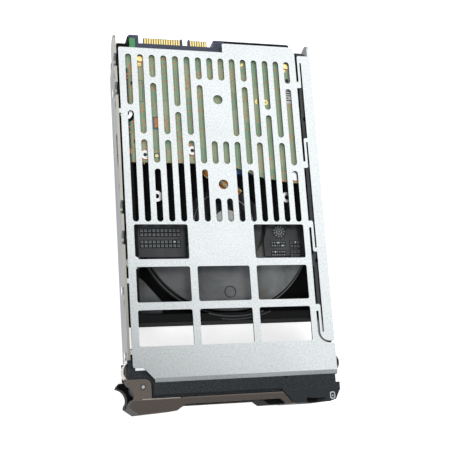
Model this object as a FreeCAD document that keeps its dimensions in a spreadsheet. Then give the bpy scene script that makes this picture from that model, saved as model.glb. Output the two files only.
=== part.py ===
import FreeCAD, Part
import math
import os
import re
import Sketcher
from FreeCAD import Vector

# Hot-swap drive caddy: a folded sheet tray with a sprung right-hand wall, a moulded
# bezel with a swinging handle and a sliding latch, and the 3.5-inch drive it carries.
#
# X runs across the tray, Y from the bezel to the drive's connectors, Z from the
# drive's cover up to the perforated sheet.  The origin is on the drive's centre line,
# at half the caddy's length, in the plane of the drive's cover.

SIZES = (
    # The drive's envelope, and the tray's fit round it
    ("drive_length", 147.0),
    ("drive_width", 101.6),
    ("drive_height", 26.1),
    ("drive_rear", 95.0),
    ("bay_depth", 28.0),
    ("side_gap", 0.4),
    ("part_gap", 0.3),
    # Tray sheet
    ("gauge", 1.0),
    ("wall_gauge", 1.2),
    ("wall_drop", 18.7),
    ("front_lip", 0.4),
    ("hem", 2.0),
    ("hem_drop", 0.3),
    ("side_slit", 1.0),
    ("rear_inset", 6.5),
    ("rear_tongue_inset", 1.5),
    ("rear_tongue_left", 4.0),
    ("rear_corner", 4.0),
    ("small_corner", 1.0),
    ("strip_inset", 6.1),
    ("hinge_notch_width", 12.4),
    ("hinge_notch_flat", 7.2),
    ("hinge_notch_depth", 6.7),
    ("hinge_notch_lip", 1.0),
    # Slot field in the sheet
    ("slot_width", 3.1),
    ("slot_pitch", 6.0),
    ("slot_middle", -3.36),
    ("slot_inset", 10.0),
    ("slot_margin", 1.35),
    ("bar_start", 12.15),
    ("bar_width", 3.0),
    ("peep_radius", 2.5),
    ("peep_place", -0.1),
    ("peep_one_inset", 32.7),
    ("peep_two_inset", 77.9),
    # Windows in the sheet
    ("window_width", 26.65),
    ("window_depth", 17.4),
    ("window_pitch", 30.3),
    ("window_step", 21.15),
    ("window_middle", -2.95),
    ("window_start", 16.65),
    ("window_corner", 1.0),
    # Flexures that carry the sprung wall
    ("strip_width", 5.3),
    ("outer_slit", 0.9),
    ("arm_width", 1.2),
    ("inner_slit", 1.2),
    ("arm_free", 10.7),
    ("arm_tab", 3.5),
    ("arm_joint", 2.1),
    ("arm_one_inset", 10.1),
    ("arm_two_inset", 54.2),
    ("arm_three_place", 74.8),
    ("arm_four_place", 31.4),
    ("end_slit_place", 15.2),
    ("end_slit", 1.0),
    ("end_slit_round", 4.6),
    # Folded walls
    ("wall_start", 10.6),
    ("wall_tab_width", 2.4),
    ("wall_tab_one", 14.3),
    ("wall_tab_two", 48.5),
    ("wall_tab_three_inset", 40.5),
    ("ear_overrun", 1.0),
    ("ear_top_round", 2.6),
    ("ear_low_round", 6.5),
    ("ear_top_drop", 0.5),
    ("ear_low_drop", 11.0),
    ("ear_root_inset", 11.0),
    ("ear_foot_inset", 15.5),
    ("notch_radius", 3.4),
    ("notch_one_inset", 13.5),
    ("notch_two_inset", 28.8),
    ("notch_three_gap", 21.7),
    ("notch_four_gap", 36.9),
    ("wall_slot_start_inset", 68.3),
    ("wall_slot_length", 17.0),
    ("wall_slot_width", 4.0),
    ("wall_slot_drop", 1.5),
    ("oval_length", 3.2),
    ("oval_width", 1.5),
    ("oval_drop", 2.2),
    ("oval_one_inset", 21.1),
    ("oval_two_inset", 36.1),
    ("oval_three_gap", 10.4),
    ("oval_four_place", 38.5),
    # Pins that hold the drive by its side holes
    ("side_hole_inset", 28.5),
    ("side_hole_front", 16.9),
    ("side_hole_drop", 6.35),
    ("side_hole_radius", 1.75),
    ("side_hole_depth", 4.5),
    ("stud_head_radius", 2.15),
    ("stud_radius", 1.6),
    ("stud_reach", 3.6),
    ("stud_proud", 0.5),
    ("fit_gap", 0.03),
    ("seam", 0.02),
    ("overrun", 1.0),
    # Bezel
    ("bezel_front", 7.65),
    ("bezel_rear", 0.6),
    ("bezel_right_inset", 1.4),
    ("rebate_width", 1.4),
    ("rebate_depth", 1.5),
    ("rear_nick", 0.8),
    ("rear_nick_inset", 27.3),
    ("shelf_reach", 7.0),
    ("shelf_depth", 2.6),
    ("arm_reach", 16.0),
    ("arm_thickness", 2.3),
    ("arm_low", 14.4),
    ("cheek_end", 10.4),
    ("cheek_start", 1.8),
    ("hinge_block_right", 11.5),
    ("hinge_block_rear", 5.6),
    ("hub_radius", 5.3),
    ("claw_slot_low", 3.4),
    ("claw_slot_high", 13.6),
    ("vent_left", -36.0),
    ("vent_right", 17.0),
    ("vent_low", 4.0),
    ("vent_high", 23.0),
    ("vent_rib", 1.6),
    ("vent_count", 4.0),
    ("cavity_left", 33.4),
    ("cavity_right", 4.9),
    ("cavity_back", 2.9),
    ("rivet_place", 13.2),
    ("rivet_height", 19.0),
    ("rivet_radius", 1.2),
    ("rivet_head_radius", 2.0),
    ("rivet_head", 0.4),
    # End cap with the finger scoop
    ("cap_front", 14.0),
    ("cap_flange", 0.6),
    ("cap_slant_gap", 0.51),
    ("cap_flange_start", 4.6),
    ("cap_shoulder", 8.0),
    ("cap_nose_inset", 2.0),
    ("cap_nose_drop", 0.9),
    ("cap_nose_flat", 5.4),
    ("scoop_left_inset", 17.4),
    ("scoop_right_inset", 7.8),
    ("scoop_floor", 11.5),
    ("scoop_sill", 2.0),
    ("lens_inset", 6.4),
    ("lens_width", 1.6),
    ("lens_depth", 4.0),
    ("lens_recess", 0.1),
    ("lens_height", 3.0),
    ("lens_low", 15.5),
    ("lens_step", 4.6),
    # Handle
    ("pivot_inset", 6.6),
    ("pivot_drop", 2.3),
    ("pin_radius", 1.5),
    ("pin_gap", 0.05),
    ("pin_proud", 0.12),
    ("hinge_plate", 1.2),
    ("plate_gap", 0.2),
    ("plate_rear", 3.7),
    ("plate_right", 3.8),
    ("plate_left", 9.0),
    ("plate_waist", 7.8),
    ("plate_neck", 0.4),
    ("plate_side", 2.2),
    ("plate_lap", 0.5),
    ("plate_corner", 3.0),
    ("plate_left_corner", 1.3),
    ("mouth_radius", 4.6),
    ("mouth_left", 9.2),
    ("mouth_front", 3.9),
    ("bar_rear", 7.95),
    ("bar_front", 11.2),
    ("bar_step", 0.45),
    ("bar_step_end", 18.4),
    ("bar_fold", 8.6),
    ("bar_slope", 1.44),
    ("lip_left", 6.8),
    ("lip_front", 11.6),
    ("lip_back", 1.0),
    ("nose_left", 2.3),
    ("nose_front", 15.1),
    ("nose_right", 15.8),
    ("nose_slope", 4.4),
    ("nose_rise", 1.0),
    ("grip_right", 29.5),
    ("grip_slant", 5.3),
    ("grip_stop", 5.5),
    ("grip_fill", 3.2),
    ("leg_taper", 2.0),
    ("leg_width", 3.3),
    ("grip_depth", 13.8),
    ("handle_band", 3.2),
    # Grille in the handle
    ("grille_front", 11.6),
    ("grille_back", 9.4),
    ("cell_across", 3.6),
    ("cell_web", 0.9),
    # Ejector claw
    ("claw_low", 4.0),
    ("claw_high", 13.0),
    ("claw_reach", 10.9),
    ("claw_tip", 1.7),
    ("claw_hub", 4.4),
    ("claw_hollow_radius", 5.8),
    ("claw_hollow_left", 11.7),
    ("claw_hollow_front", 5.2),
    ("claw_bevel", 0.9),
    ("claw_back", 0.4),
    ("claw_neck", 3.3),
    ("claw_shoulder", 2.0),
    ("claw_right", 2.6),
    ("jaw_left", 6.7),
    ("jaw_right", 3.6),
    ("jaw_depth", 9.2),
    # Latch
    ("latch_travel", 2.5),
    ("catch_right", 33.4),
    ("catch_width", 1.4),
    ("catch_barb", 2.0),
    ("catch_reach", 4.0),
    ("catch_height", 1.2),
    ("catch_low", 9.5),
    ("catch_tall", 8.0),
    ("nose_height", 1.2),
    ("nose_bite", 1.2),
    ("latch_low", 7.0),
    ("latch_tall", 13.0),
    ("latch_left", 27.4),
    ("latch_length", 15.0),
    ("latch_face", 7.35),
    ("latch_back", 3.2),
    ("stem_left", 14.9),
    ("stem_width", 2.2),
    ("stem_inset", 1.8),
    ("pad_left", 16.5),
    ("pad_width", 6.0),
    ("pad_low", 4.0),
    ("pad_front", 13.9),
    # Contact springs on the bezel's sides
    ("emi_low", 15.6),
    ("emi_tall", 9.4),
    ("emi_bow", 2.3),
    ("emi_start", 1.0),
    ("emi_end", 9.6),
    ("emi_foot", 1.2),
    ("emi_gauge", 0.3),
    ("emi_slit", 0.6),
    # Drive casting
    ("cover_gauge", 0.8),
    ("rail_width", 5.6),
    ("floor_drop", 5.0),
    ("corner_drop", 12.1),
    ("shelf_overrun", 17.0),
    ("plateau_rise", 1.2),
    ("plateau_rear", 6.0),
    ("plateau_left_start", 44.1),
    ("plateau_left_end", 20.2),
    ("corner_shelf_drop", 6.6),
    ("corner_shelf_side", 3.2),
    ("corner_shelf_width", 11.9),
    ("corner_shelf_rear", 21.8),
    ("corner_shelf_front", 11.3),
    ("end_wall", 4.0),
    ("bowl_radius", 44.4),
    ("bowl_drop", 5.8),
    ("bowl_lip", 0.8),
    ("bowl_lip_drop", 8.0),
    ("ejector_mark", 2.9),
    ("ejector_groove", 0.4),
    ("ejector_front", 15.3),
    ("motor_ring_in", 19.0),
    ("motor_ring_out", 20.8),
    ("motor_ring_drop", 2.6),
    ("spindle_side", 1.5),
    ("spindle_place", 50.0),
    ("bottom_hole_inset", 41.28),
    ("bottom_hole_front", 29.52),
    ("bottom_boss_radius", 4.2),
    ("bottom_hole_side", 3.18),
    ("bottom_hole_radius", 1.6),
    ("bottom_hole_depth", 6.0),
    ("socket_notch_low", 15.5),
    ("socket_notch_depth", 9.6),
    ("casting_corner", 3.0),
    ("shoulder_inset", 4.1),
    ("shoulder_left", 5.6),
    ("shoulder_right", 9.6),
    ("front_step_tall", 10.0),
    ("front_step_depth", 1.9),
    ("tie_boss_radius", 2.8),
    ("tie_boss_drop", 1.6),
    ("tie_boss_side", 34.0),
    ("tie_boss_rear", 13.4),
    # Drive cover and its screws
    ("cover_inset", 0.6),
    ("cover_corner", 4.0),
    ("screw_inset", 4.4),
    ("screw_radius", 1.2),
    ("screw_head_radius", 2.4),
    ("screw_seat", 0.15),
    ("screw_length", 4.0),
    # Circuit board
    ("board_gauge", 1.0),
    ("board_gap", 0.8),
    ("board_right_inset", 6.2),
    ("board_left_inset", 3.6),
    ("board_clear", 0.3),
    ("lug_width", 3.0),
    ("lug_reach", 6.1),
    ("lug_inset", 3.0),
    ("board_third_screw", 14.9),
    ("board_third_inset", 6.5),
    ("board_screw_side", 5.6),
    ("board_screw_front", 3.8),
    ("board_screw_step", 2.4),
    ("board_screw_rear", 4.4),
    ("board_inset", 6.6),
    ("board_front_place", 30.5),
    ("board_step_left", 2.0),
    ("board_step_middle", 22.0),
    ("board_step_depth", 7.1),
    ("board_step_right", 38.0),
    ("board_step_end", 9.6),
    ("board_boss_radius", 3.0),
    ("board_head_radius", 2.3),
    ("board_head", 0.6),
    # Connector
    ("socket_width", 49.5),
    ("socket_low", 17.2),
    ("socket_inset", 9.2),
    ("socket_body", 6.6),
    ("socket_reach", 1.3),
    ("post_reach", 1.8),
    ("tongue_low", 20.9),
    ("tongue_tall", 1.5),
    ("post_width", 5.0),
    ("key_rib", 0.8),
    ("key_rise", 1.1),
    ("rear_rim_low", 19.0),
    ("contact_pitch", 1.27),
    ("contact_width", 0.8),
    ("contact_tall", 0.25),
    ("power_inset", 8.7),
    ("power_count", 15.0),
    ("data_inset", 32.8),
    ("data_count", 7.0),
    ("tongue_margin", 0.8),
    # Spindle motor and its flexible lead
    ("flange_radius", 11.5),
    ("flange_tall", 1.2),
    ("motor_radius", 8.0),
    ("motor_tall", 2.6),
    ("motor_bolt_radius", 1.3),
    ("motor_bolt_head", 0.5),
    ("motor_bolt_circle", 9.8),
    ("lead_gauge", 0.2),
    ("lead_left", -10.6),
    ("lead_width", 6.0),
    ("lead_rear", 32.0),
    ("lead_turn", 27.2),
    ("lead_slant", 17.2),
    ("lead_fall", 14.2),
    ("lead_band", 4.6),
    ("lead_crook", 3.6),
)

# Places worked out from the sizes above
REAR = "drive_rear"
FRONT = "(drive_rear - drive_length - bay_depth)"
DRIVE_FRONT = "(drive_rear - drive_length)"
DRIVE_HALF = "(drive_width / 2)"
WALL_IN = "(drive_width / 2 + side_gap)"
WALL_OUT = "(drive_width / 2 + side_gap + wall_gauge)"
TOP = "(drive_height + gauge)"
WALL_FOOT = "(drive_height + gauge - wall_drop)"
PLATE_LEFT = f"(side_slit - {WALL_IN})"
STRIP_LEFT = f"({WALL_OUT} - strip_width)"
ARM_RIGHT = f"({STRIP_LEFT} - outer_slit)"
ARM_LEFT = f"({ARM_RIGHT} - arm_width)"
PLATE_RIGHT = f"({ARM_LEFT} - inner_slit)"
SIDE_HOLE = "(drive_height - side_hole_drop)"
PIVOT_X = f"(pivot_inset - {WALL_OUT})"
PIVOT_Y = f"({FRONT} - pivot_drop)"
HINGE_LOW = "(hinge_plate + plate_gap)"
HINGE_HIGH = f"({TOP} - hinge_plate - plate_gap)"
BEZEL_FACE = f"({FRONT} - bezel_front)"
BEZEL_RIGHT = f"({WALL_OUT} - bezel_right_inset)"
BOARD_TOP = "(drive_height - board_gap)"
BOARD_LOW = "(drive_height - board_gap - board_gauge)"
FLOOR = "(drive_height - floor_drop)"
SPINDLE_Y = f"({DRIVE_FRONT} + spindle_place)"
BOARD_LEFT = f"({DRIVE_HALF} - board_left_inset)"
BOARD_RIGHT = f"({DRIVE_HALF} - board_right_inset)"
BOARD_FRONT = f"({SPINDLE_Y} + board_front_place)"
SOCKET_LEFT = f"(lug_inset - {BOARD_LEFT})"
SOCKET_RIGHT = f"({SOCKET_LEFT} + socket_width)"

WORD = re.compile(r"[a-z]\w*(?!\w*\()")
PLANES = {"XY": "XY_Plane", "XZ": "XZ_Plane", "YZ": "YZ_Plane"}

doc = FreeCAD.newDocument("DriveCaddy")
sheet = doc.addObject("Spreadsheet::Sheet", "Sizes")
for row, (name, number) in enumerate(SIZES, 1):
    sheet.set(f"A{row}", name)
    sheet.set(f"B{row}", str(number))
    sheet.setAlias(f"B{row}", name)
doc.recompute()
parts = []


def formula(text):
    """A formula in which every word is a cell of the sheet."""
    return WORD.sub(lambda found: "Sizes." + found.group(0), text)


def value(text):
    return float(sheet.evalExpression(formula(text)))


def bind(thing, prop, text):
    thing.setExpression(prop, formula(text))


def origin_plane(body, role):
    return [item for item in body.Origin.OriginFeatures if item.Role == role][0]


def new_body(label):
    body = doc.addObject("PartDesign::Body", label)
    body.Label = label
    parts.append(body)
    return body


# ---- outlines: each draws one closed loop in a sketch, held by formulas ----

def hold(kind, item, point, text):
    """Dimension of a point from the sketch's origin, and the formula that drives it."""
    return Sketcher.Constraint(kind, -1, 1, item, point, value(text)), text


def polygon(sketch, corners):
    first = sketch.GeometryCount
    places = [Vector(value(x), value(y), 0) for x, y in corners]
    count = len(places)
    sketch.addGeometry([Part.LineSegment(places[i], places[(i + 1) % count]) for i in range(count)], False)
    rules = []
    for i, (x, y) in enumerate(corners):
        rules.append((Sketcher.Constraint("Coincident", first + i, 2, first + (i + 1) % count, 1), None))
        rules.append(hold("DistanceX", first + i, 1, x))
        rules.append(hold("DistanceY", first + i, 1, y))
    return rules


def rectangle(sketch, left, right, low, high):
    return polygon(sketch, ((left, low), (right, low), (right, high), (left, high)))


def circle(sketch, x, y, radius):
    first = sketch.GeometryCount
    sketch.addGeometry([Part.Circle(Vector(value(x), value(y), 0), Vector(0, 0, 1), value(radius))], False)
    size = Sketcher.Constraint("Radius", first, value(radius))
    return [hold("DistanceX", first, 3, x), hold("DistanceY", first, 3, y), (size, radius)]


def arcs_and_sides(sketch, centres, start, radius):
    """Arcs of one radius round the centres in turn, joined by straight tangent sides."""
    first = sketch.GeometryCount
    size = value(radius)
    places = [Vector(value(x), value(y), 0) for x, y in centres]
    count = len(places)
    bend = 2 * math.pi / count
    items = []
    for i, place in enumerate(places):
        low, high = start + bend * i, start + bend * (i + 1)
        away = Vector(math.cos(high), math.sin(high), 0) * size
        items.append(Part.ArcOfCircle(Part.Circle(place, Vector(0, 0, 1), size), low, high))
        items.append(Part.LineSegment(place + away, places[(i + 1) % count] + away))
    sketch.addGeometry(items, False)
    total = len(items)
    rules = [Sketcher.Constraint("Tangent", first + i, 2, first + (i + 1) % total, 1) for i in range(total)]
    rules += [Sketcher.Constraint("Equal", first, first + 2 * i) for i in range(1, count)]
    if count == 4:
        rules += [Sketcher.Constraint("Vertical", first + 1), Sketcher.Constraint("Vertical", first + 5)]
        rules += [Sketcher.Constraint("Horizontal", first + 3), Sketcher.Constraint("Horizontal", first + 7)]
    held = [(rule, None) for rule in rules]
    for i in (0, count // 2):
        held.append(hold("DistanceX", first + 2 * i, 3, centres[i][0]))
        held.append(hold("DistanceY", first + 2 * i, 3, centres[i][1]))
    held.append((Sketcher.Constraint("Radius", first, size), radius))
    return held


def rounded(sketch, left, right, low, high, radius):
    """Rectangle with rounded corners."""
    a, b = f"{left} + {radius}", f"{right} - {radius}"
    c, d = f"{low} + {radius}", f"{high} - {radius}"
    return arcs_and_sides(sketch, ((b, c), (b, d), (a, d), (a, c)), -math.pi / 2, radius)


def upright_slot(sketch, x, low, high, width):
    half = f"{width} / 2"
    return arcs_and_sides(sketch, ((x, f"{high} - {half}"), (x, f"{low} + {half}")), 0, half)


def level_slot(sketch, left, right, y, width):
    half = f"{width} / 2"
    return arcs_and_sides(sketch, ((f"{right} - {half}", y), (f"{left} + {half}", y)), -math.pi / 2, half)


# ---- features: each works on one body, from a start plane along its normal ----

def new_sketch(body, plane, start, outlines):
    sketch = body.newObject("Sketcher::SketchObject", body.Label + "_outline")
    sketch.AttachmentSupport = (origin_plane(body, PLANES[plane]), [""])
    sketch.MapMode = "FlatFace"
    bind(sketch, "AttachmentOffset.Base.z", start)
    rules = []
    for draw, *sizes in outlines:
        rules += draw(sketch, *sizes)
    sketch.addConstraint([rule for rule, text in rules])
    for index, (rule, text) in enumerate(rules):
        if text:
            bind(sketch, f"Constraints[{index}]", text)
    return sketch


def add(body, plane, start, length, *outlines):
    """Pads outlines by a length, from a start along the plane's normal."""
    pad = body.newObject("PartDesign::Pad", body.Label + "_pad")
    pad.Profile = new_sketch(body, plane, start, outlines)
    bind(pad, "Length", length)
    doc.recompute()
    return pad


def cut(body, plane, start, length, *outlines):
    """Pockets outlines by a length, from a start along the plane's normal."""
    before = body.Shape.Volume
    pocket = body.newObject("PartDesign::Pocket", body.Label + "_cut")
    pocket.Profile = new_sketch(body, plane, start, outlines)
    pocket.Reversed = True
    bind(pocket, "Length", length)
    doc.recompute()
    if not body.Shape.Volume < before - 1e-6:
        raise ValueError(f"a cut in {body.Label} removes nothing")
    return pocket


def round_edges(body, axis, radius, *spots):
    """Rounds the straight edges along an axis (0, 1 or 2) that pass through the spots."""
    base = body.Tip
    others = [i for i in range(3) if i != axis]
    wanted = [(value(a), value(b)) for a, b in spots]
    names = []
    for number, edge in enumerate(base.Shape.Edges, 1):
        if edge.Curve.TypeId != "Part::GeomLine" or len(edge.Vertexes) != 2:
            continue
        one, two = edge.Vertexes[0].Point, edge.Vertexes[1].Point
        if any(abs(one[i] - two[i]) > 1e-4 for i in others):
            continue
        if any(math.hypot(one[others[0]] - a, one[others[1]] - b) < 0.01 for a, b in wanted):
            names.append(f"Edge{number}")
    if len(names) < len(wanted):
        raise ValueError(f"{body.Label} lacks an edge to round")
    fillet = body.newObject("PartDesign::Fillet", body.Label + "_round")
    fillet.Base = (base, names)
    bind(fillet, "Radius", radius)
    doc.recompute()
    if "Invalid" in fillet.State:
        raise ValueError(f"a corner of {body.Label} can't be rounded")


def array(body, features, *rows):
    """Repeats features along origin axes of the body; each row is an axis, a step and a count."""
    many = body.newObject("PartDesign::MultiTransform", body.Label + "_array")
    many.Originals = list(features)
    moves = []
    for role, step, count in rows:
        move = body.newObject("PartDesign::LinearPattern", body.Label + "_row")
        move.Direction = (origin_plane(body, role), [""])
        bind(move, "Occurrences", count)
        bind(move, "Length", f"{step} * ({count} - 1)")
        moves.append(move)
    many.Transformations = moves
    body.Tip = many
    before = features[0].Shape.Volume
    doc.recompute()
    if abs(body.Shape.Volume - before) < 1e-6:
        raise ValueError(f"an array in {body.Label} adds nothing")


def both_sides(*x_and_rest):
    """The same place at +X and -X."""
    x, *rest = x_and_rest
    return (x, *rest), (f"-{x}", *rest)


def tray_sheet():
    """Perforated plate with a fixed left wall, and a right wall carried by four flexures."""
    tray = new_body("tray_sheet")
    plate_rear = f"{REAR} - rear_inset"
    tongue_rear = f"{REAR} - rear_tongue_inset"
    strip_rear = f"{REAR} - strip_inset"
    plate_front = f"{FRONT} - front_lip"
    notch_right = f"hinge_notch_width - {WALL_OUT}"
    notch_bend = f"hinge_notch_flat - {WALL_OUT}"
    notch_rear = f"{FRONT} + hinge_notch_depth"
    add(tray, "XY", "drive_height", "gauge", (polygon, (
        (PLATE_LEFT, plate_rear), (PLATE_LEFT, notch_rear), (notch_bend, notch_rear),
        (notch_right, f"{FRONT} + hinge_notch_lip"), (notch_right, plate_front),
        (WALL_OUT, plate_front), (WALL_OUT, strip_rear), (PLATE_RIGHT, strip_rear),
        (PLATE_RIGHT, tongue_rear), ("rear_tongue_left", tongue_rear), ("rear_tongue_left", plate_rear),
    )))
    round_edges(tray, 2, "rear_corner", (PLATE_RIGHT, tongue_rear))
    round_edges(tray, 2, "small_corner", ("rear_tongue_left", tongue_rear), (PLATE_LEFT, plate_rear),
                (PLATE_LEFT, notch_rear))
    cut(tray, "YZ", notch_right, f"2 * {WALL_OUT} - hinge_notch_width", (polygon, (
        (f"{plate_front} - hem", f"{TOP} - 2 * hem_drop"), (f"{plate_front} + hem", TOP),
        (f"{plate_front} + hem", f"{TOP} + hem"), (f"{plate_front} - hem", f"{TOP} + hem"),
    )))
    cut_slots(tray)
    cut_windows(tray)
    cut_flexures(tray, strip_rear)
    fold_walls(tray)


def cut_slots(tray):
    """Columns of round-ended slots; bars cross each column at one of five rows."""
    field_rear = f"({REAR} - slot_inset)"
    field_front = f"({FRONT} + window_start + 2 * window_step + window_depth + slot_margin)"
    bar_pitch = f"({field_rear} - {field_front} - 2 * bar_start - bar_width) / 4"

    def bar_edges(number):
        rear = f"{field_rear} - bar_start - {number} * {bar_pitch}"
        return rear, f"{rear} - bar_width"

    def runs(bars):
        edges = [field_rear]
        for number in bars:
            edges += bar_edges(number)
        edges.append(field_front)
        return list(zip(edges[1::2], edges[0::2]))

    one, three, four, five = bar_edges(0), bar_edges(2), bar_edges(3), bar_edges(4)
    peep_runs = [(one[0], field_rear), (four[0], three[1]), (field_front, five[1])]
    kinds = (
        (0, 2, 4, runs((1,))),
        (12, 1, 4, runs((1,))),
        (1, 3, 2, runs((2,))),
        (9, 3, 2, runs((2,))),
        (2, 4, 4, runs((0, 3))),
        (7, 2, 1, peep_runs),
    )
    for column, count, step, spans in kinds:
        x = f"slot_middle + {column - 7} * slot_pitch"
        slots = cut(tray, "XY", "drive_height", "gauge",
                    *[(upright_slot, x, low, high, "slot_width") for low, high in spans])
        if count > 1:
            array(tray, [slots], ("X_Axis", f"{step} * slot_pitch", f"{count}"))
    cut(tray, "XY", "drive_height", "gauge",
        (circle, "peep_place", f"{REAR} - peep_one_inset", "peep_radius"),
        (circle, "peep_place", f"{REAR} - peep_two_inset", "peep_radius"))


def window_places():
    """Left, right, front and rear of each window: two full rows, and one without its middle."""
    for row, columns in enumerate(((-1, 0, 1), (-1, 0, 1), (-1, 1))):
        front = f"{FRONT} + window_start + {row} * window_step"
        for column in columns:
            left = f"window_middle + {column} * window_pitch - window_width / 2"
            yield left, f"{left} + window_width", front, f"{front} + window_depth"


def cut_windows(tray):
    cut(tray, "XY", "drive_height", "gauge", *[(rounded, *place,
            "window_corner") for place in window_places()])


def cut_flexures(tray, strip_rear):
    """Slits that leave four spring arms between the plate and the right-hand strip."""
    one = f"{REAR} - arm_one_inset"
    two = f"{REAR} - arm_two_inset"
    three = f"{FRONT} + arm_three_place"
    four = f"{FRONT} + arm_four_place"
    end = f"{FRONT} + end_slit_place"
    beyond = f"{WALL_OUT} + overrun"
    right = STRIP_LEFT
    cut(tray, "XY", "drive_height", "gauge",
        (rectangle, PLATE_RIGHT, ARM_LEFT, f"{one} - arm_free", f"{strip_rear} + overrun"),
        (polygon, (
            (ARM_RIGHT, one), (right, one), (right, f"{two} + arm_joint"), (ARM_LEFT, f"{two} + arm_joint"),
            (ARM_LEFT, f"{two} - arm_free"), (PLATE_RIGHT, f"{two} - arm_free"),
            (PLATE_RIGHT, f"{one} - arm_free - arm_tab"), (ARM_RIGHT, f"{one} - arm_free - arm_tab"),
        )),
        (polygon, (
            (ARM_RIGHT, two), (right, two), (right, f"{three} - arm_free"), (ARM_RIGHT,
            f"{three} - arm_free"),
            (ARM_RIGHT, f"{three} + arm_tab"), (PLATE_RIGHT, f"{three} + arm_tab"),
            (PLATE_RIGHT, f"{two} - arm_free - arm_tab"), (ARM_RIGHT, f"{two} - arm_free - arm_tab"),
        )),
        (polygon, (
            (PLATE_RIGHT, three), (ARM_LEFT, three), (ARM_LEFT, f"{three} - arm_free - arm_joint"),
            (right, f"{three} - arm_free - arm_joint"), (right, f"{four} - arm_free"),
            (ARM_RIGHT, f"{four} - arm_free"), (ARM_RIGHT, f"{four} + arm_tab"), (PLATE_RIGHT,
            f"{four} + arm_tab"),
        )),
        (polygon, (
            (PLATE_RIGHT, four), (ARM_LEFT, four), (ARM_LEFT, f"{end} + end_slit"), (beyond,
            f"{end} + end_slit"),
            (beyond, end), (PLATE_RIGHT, end),
        )))
    round_edges(tray, 2, "end_slit_round", (ARM_LEFT, f"{end} + end_slit"))
    round_edges(tray, 2, "end_slit_round + inner_slit", (PLATE_RIGHT, end))
    round_edges(tray, 2, "small_corner", (ARM_RIGHT, f"{one} - arm_free - arm_tab"),
                (ARM_LEFT, f"{two} + arm_joint"), (ARM_RIGHT, f"{two} - arm_free - arm_tab"),
                (ARM_RIGHT, f"{three} + arm_tab"), (ARM_LEFT, f"{three} - arm_free - arm_joint"),
                (ARM_RIGHT, f"{four} + arm_tab"), (ARM_LEFT, strip_rear))


def fold_walls(tray):
    """Side walls, drawn in Y and Z; the left one is joined by three narrow tabs."""
    ear_rear = f"{REAR} + ear_overrun"
    ear_top = f"{TOP} - ear_top_drop"
    ear_low = f"{TOP} - ear_low_drop"
    end_slit_rear = f"{FRONT} + end_slit_place + end_slit"

    def wall(start):
        return (polygon, (
            (start, WALL_FOOT), (start, TOP), (f"{REAR} - rear_inset", TOP), (f"{REAR} - strip_inset",
            ear_top),
            (ear_rear, ear_top), (ear_rear, ear_low), (f"{REAR} - ear_root_inset", ear_low),
            (f"{REAR} - ear_foot_inset", WALL_FOOT),
        ))

    wall_start = f"{FRONT} + wall_start"
    tabs = []
    for middle in (f"{FRONT} + wall_tab_one", f"{FRONT} + wall_tab_two", f"{REAR} - wall_tab_three_inset"):
        low = f"{middle} - wall_tab_width / 2"
        tabs.append((rectangle, f"-{WALL_IN} - wall_gauge / 2", PLATE_LEFT, low, f"{low} + wall_tab_width"))
    add(tray, "YZ", f"-{WALL_OUT}", "wall_gauge", wall(wall_start))
    add(tray, "XY", "drive_height", "gauge", *tabs)
    add(tray, "YZ", WALL_IN, "wall_gauge", wall(end_slit_rear))
    add(tray, "YZ", WALL_IN, "wall_gauge",
        (rectangle, wall_start, f"{FRONT} + end_slit_place", WALL_FOOT, TOP))
    round_edges(tray, 0, "ear_top_round", (ear_rear, ear_top))
    round_edges(tray, 0, "ear_low_round", (ear_rear, ear_low))

    slot_start = f"{REAR} - wall_slot_start_inset"
    notches = [f"{REAR} - notch_one_inset", f"{REAR} - notch_two_inset",
               f"{slot_start} - notch_three_gap", f"{slot_start} - notch_four_gap"]
    cut(tray, "YZ", f"-{WALL_OUT}", "wall_gauge", *[(circle, place, TOP,
            "notch_radius") for place in notches])
    slot_height = f"{TOP} - wall_slot_drop - wall_slot_width / 2"
    ovals = [f"{REAR} - oval_one_inset", f"{REAR} - oval_two_inset",
             f"{slot_start} - oval_three_gap", f"{FRONT} + oval_four_place"]
    studs = [f"{REAR} - side_hole_inset", f"{DRIVE_FRONT} + side_hole_front"]
    rivet = [(circle, f"{FRONT} + rivet_place", "rivet_height", "rivet_radius + fit_gap")]
    for start in (f"-{WALL_OUT}", WALL_IN):
        cut(tray, "YZ", start, "wall_gauge",
            (level_slot, slot_start, f"{slot_start} + wall_slot_length", slot_height, "wall_slot_width"),
            *[(level_slot, f"{place} - oval_length / 2", f"{place} + oval_length / 2",
               f"{TOP} - oval_drop - oval_width / 2", "oval_width") for place in ovals],
            *[(circle, place, SIDE_HOLE, "stud_head_radius + fit_gap") for place in studs], *rivet)


def drive_studs():
    """Four pins in the walls that enter the drive's side holes."""
    studs = new_body("drive_studs")
    places = [f"{REAR} - side_hole_inset", f"{DRIVE_FRONT} + side_hole_front"]
    heads = [(circle, place, SIDE_HOLE, "stud_head_radius") for place in places]
    shanks = [(circle, place, SIDE_HOLE, "stud_radius") for place in places]
    add(studs, "YZ", f"-{WALL_OUT} - stud_proud", "wall_gauge + stud_proud", *heads)
    add(studs, "YZ", WALL_IN, "wall_gauge + stud_proud", *heads)
    add(studs, "YZ", f"-{WALL_IN}", "stud_reach", *shanks)
    add(studs, "YZ", f"{WALL_IN} - stud_reach", "stud_reach", *shanks)


def bottom_hole_places():
    side = f"({DRIVE_HALF} - bottom_hole_side)"
    rows = (f"{DRIVE_FRONT} + bottom_hole_front", f"{REAR} - bottom_hole_inset")
    return [place for row in rows for place in both_sides(side, row)]


def tie_boss_places():
    return both_sides("tie_boss_side", f"{SPINDLE_Y} + tie_boss_rear")


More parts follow.
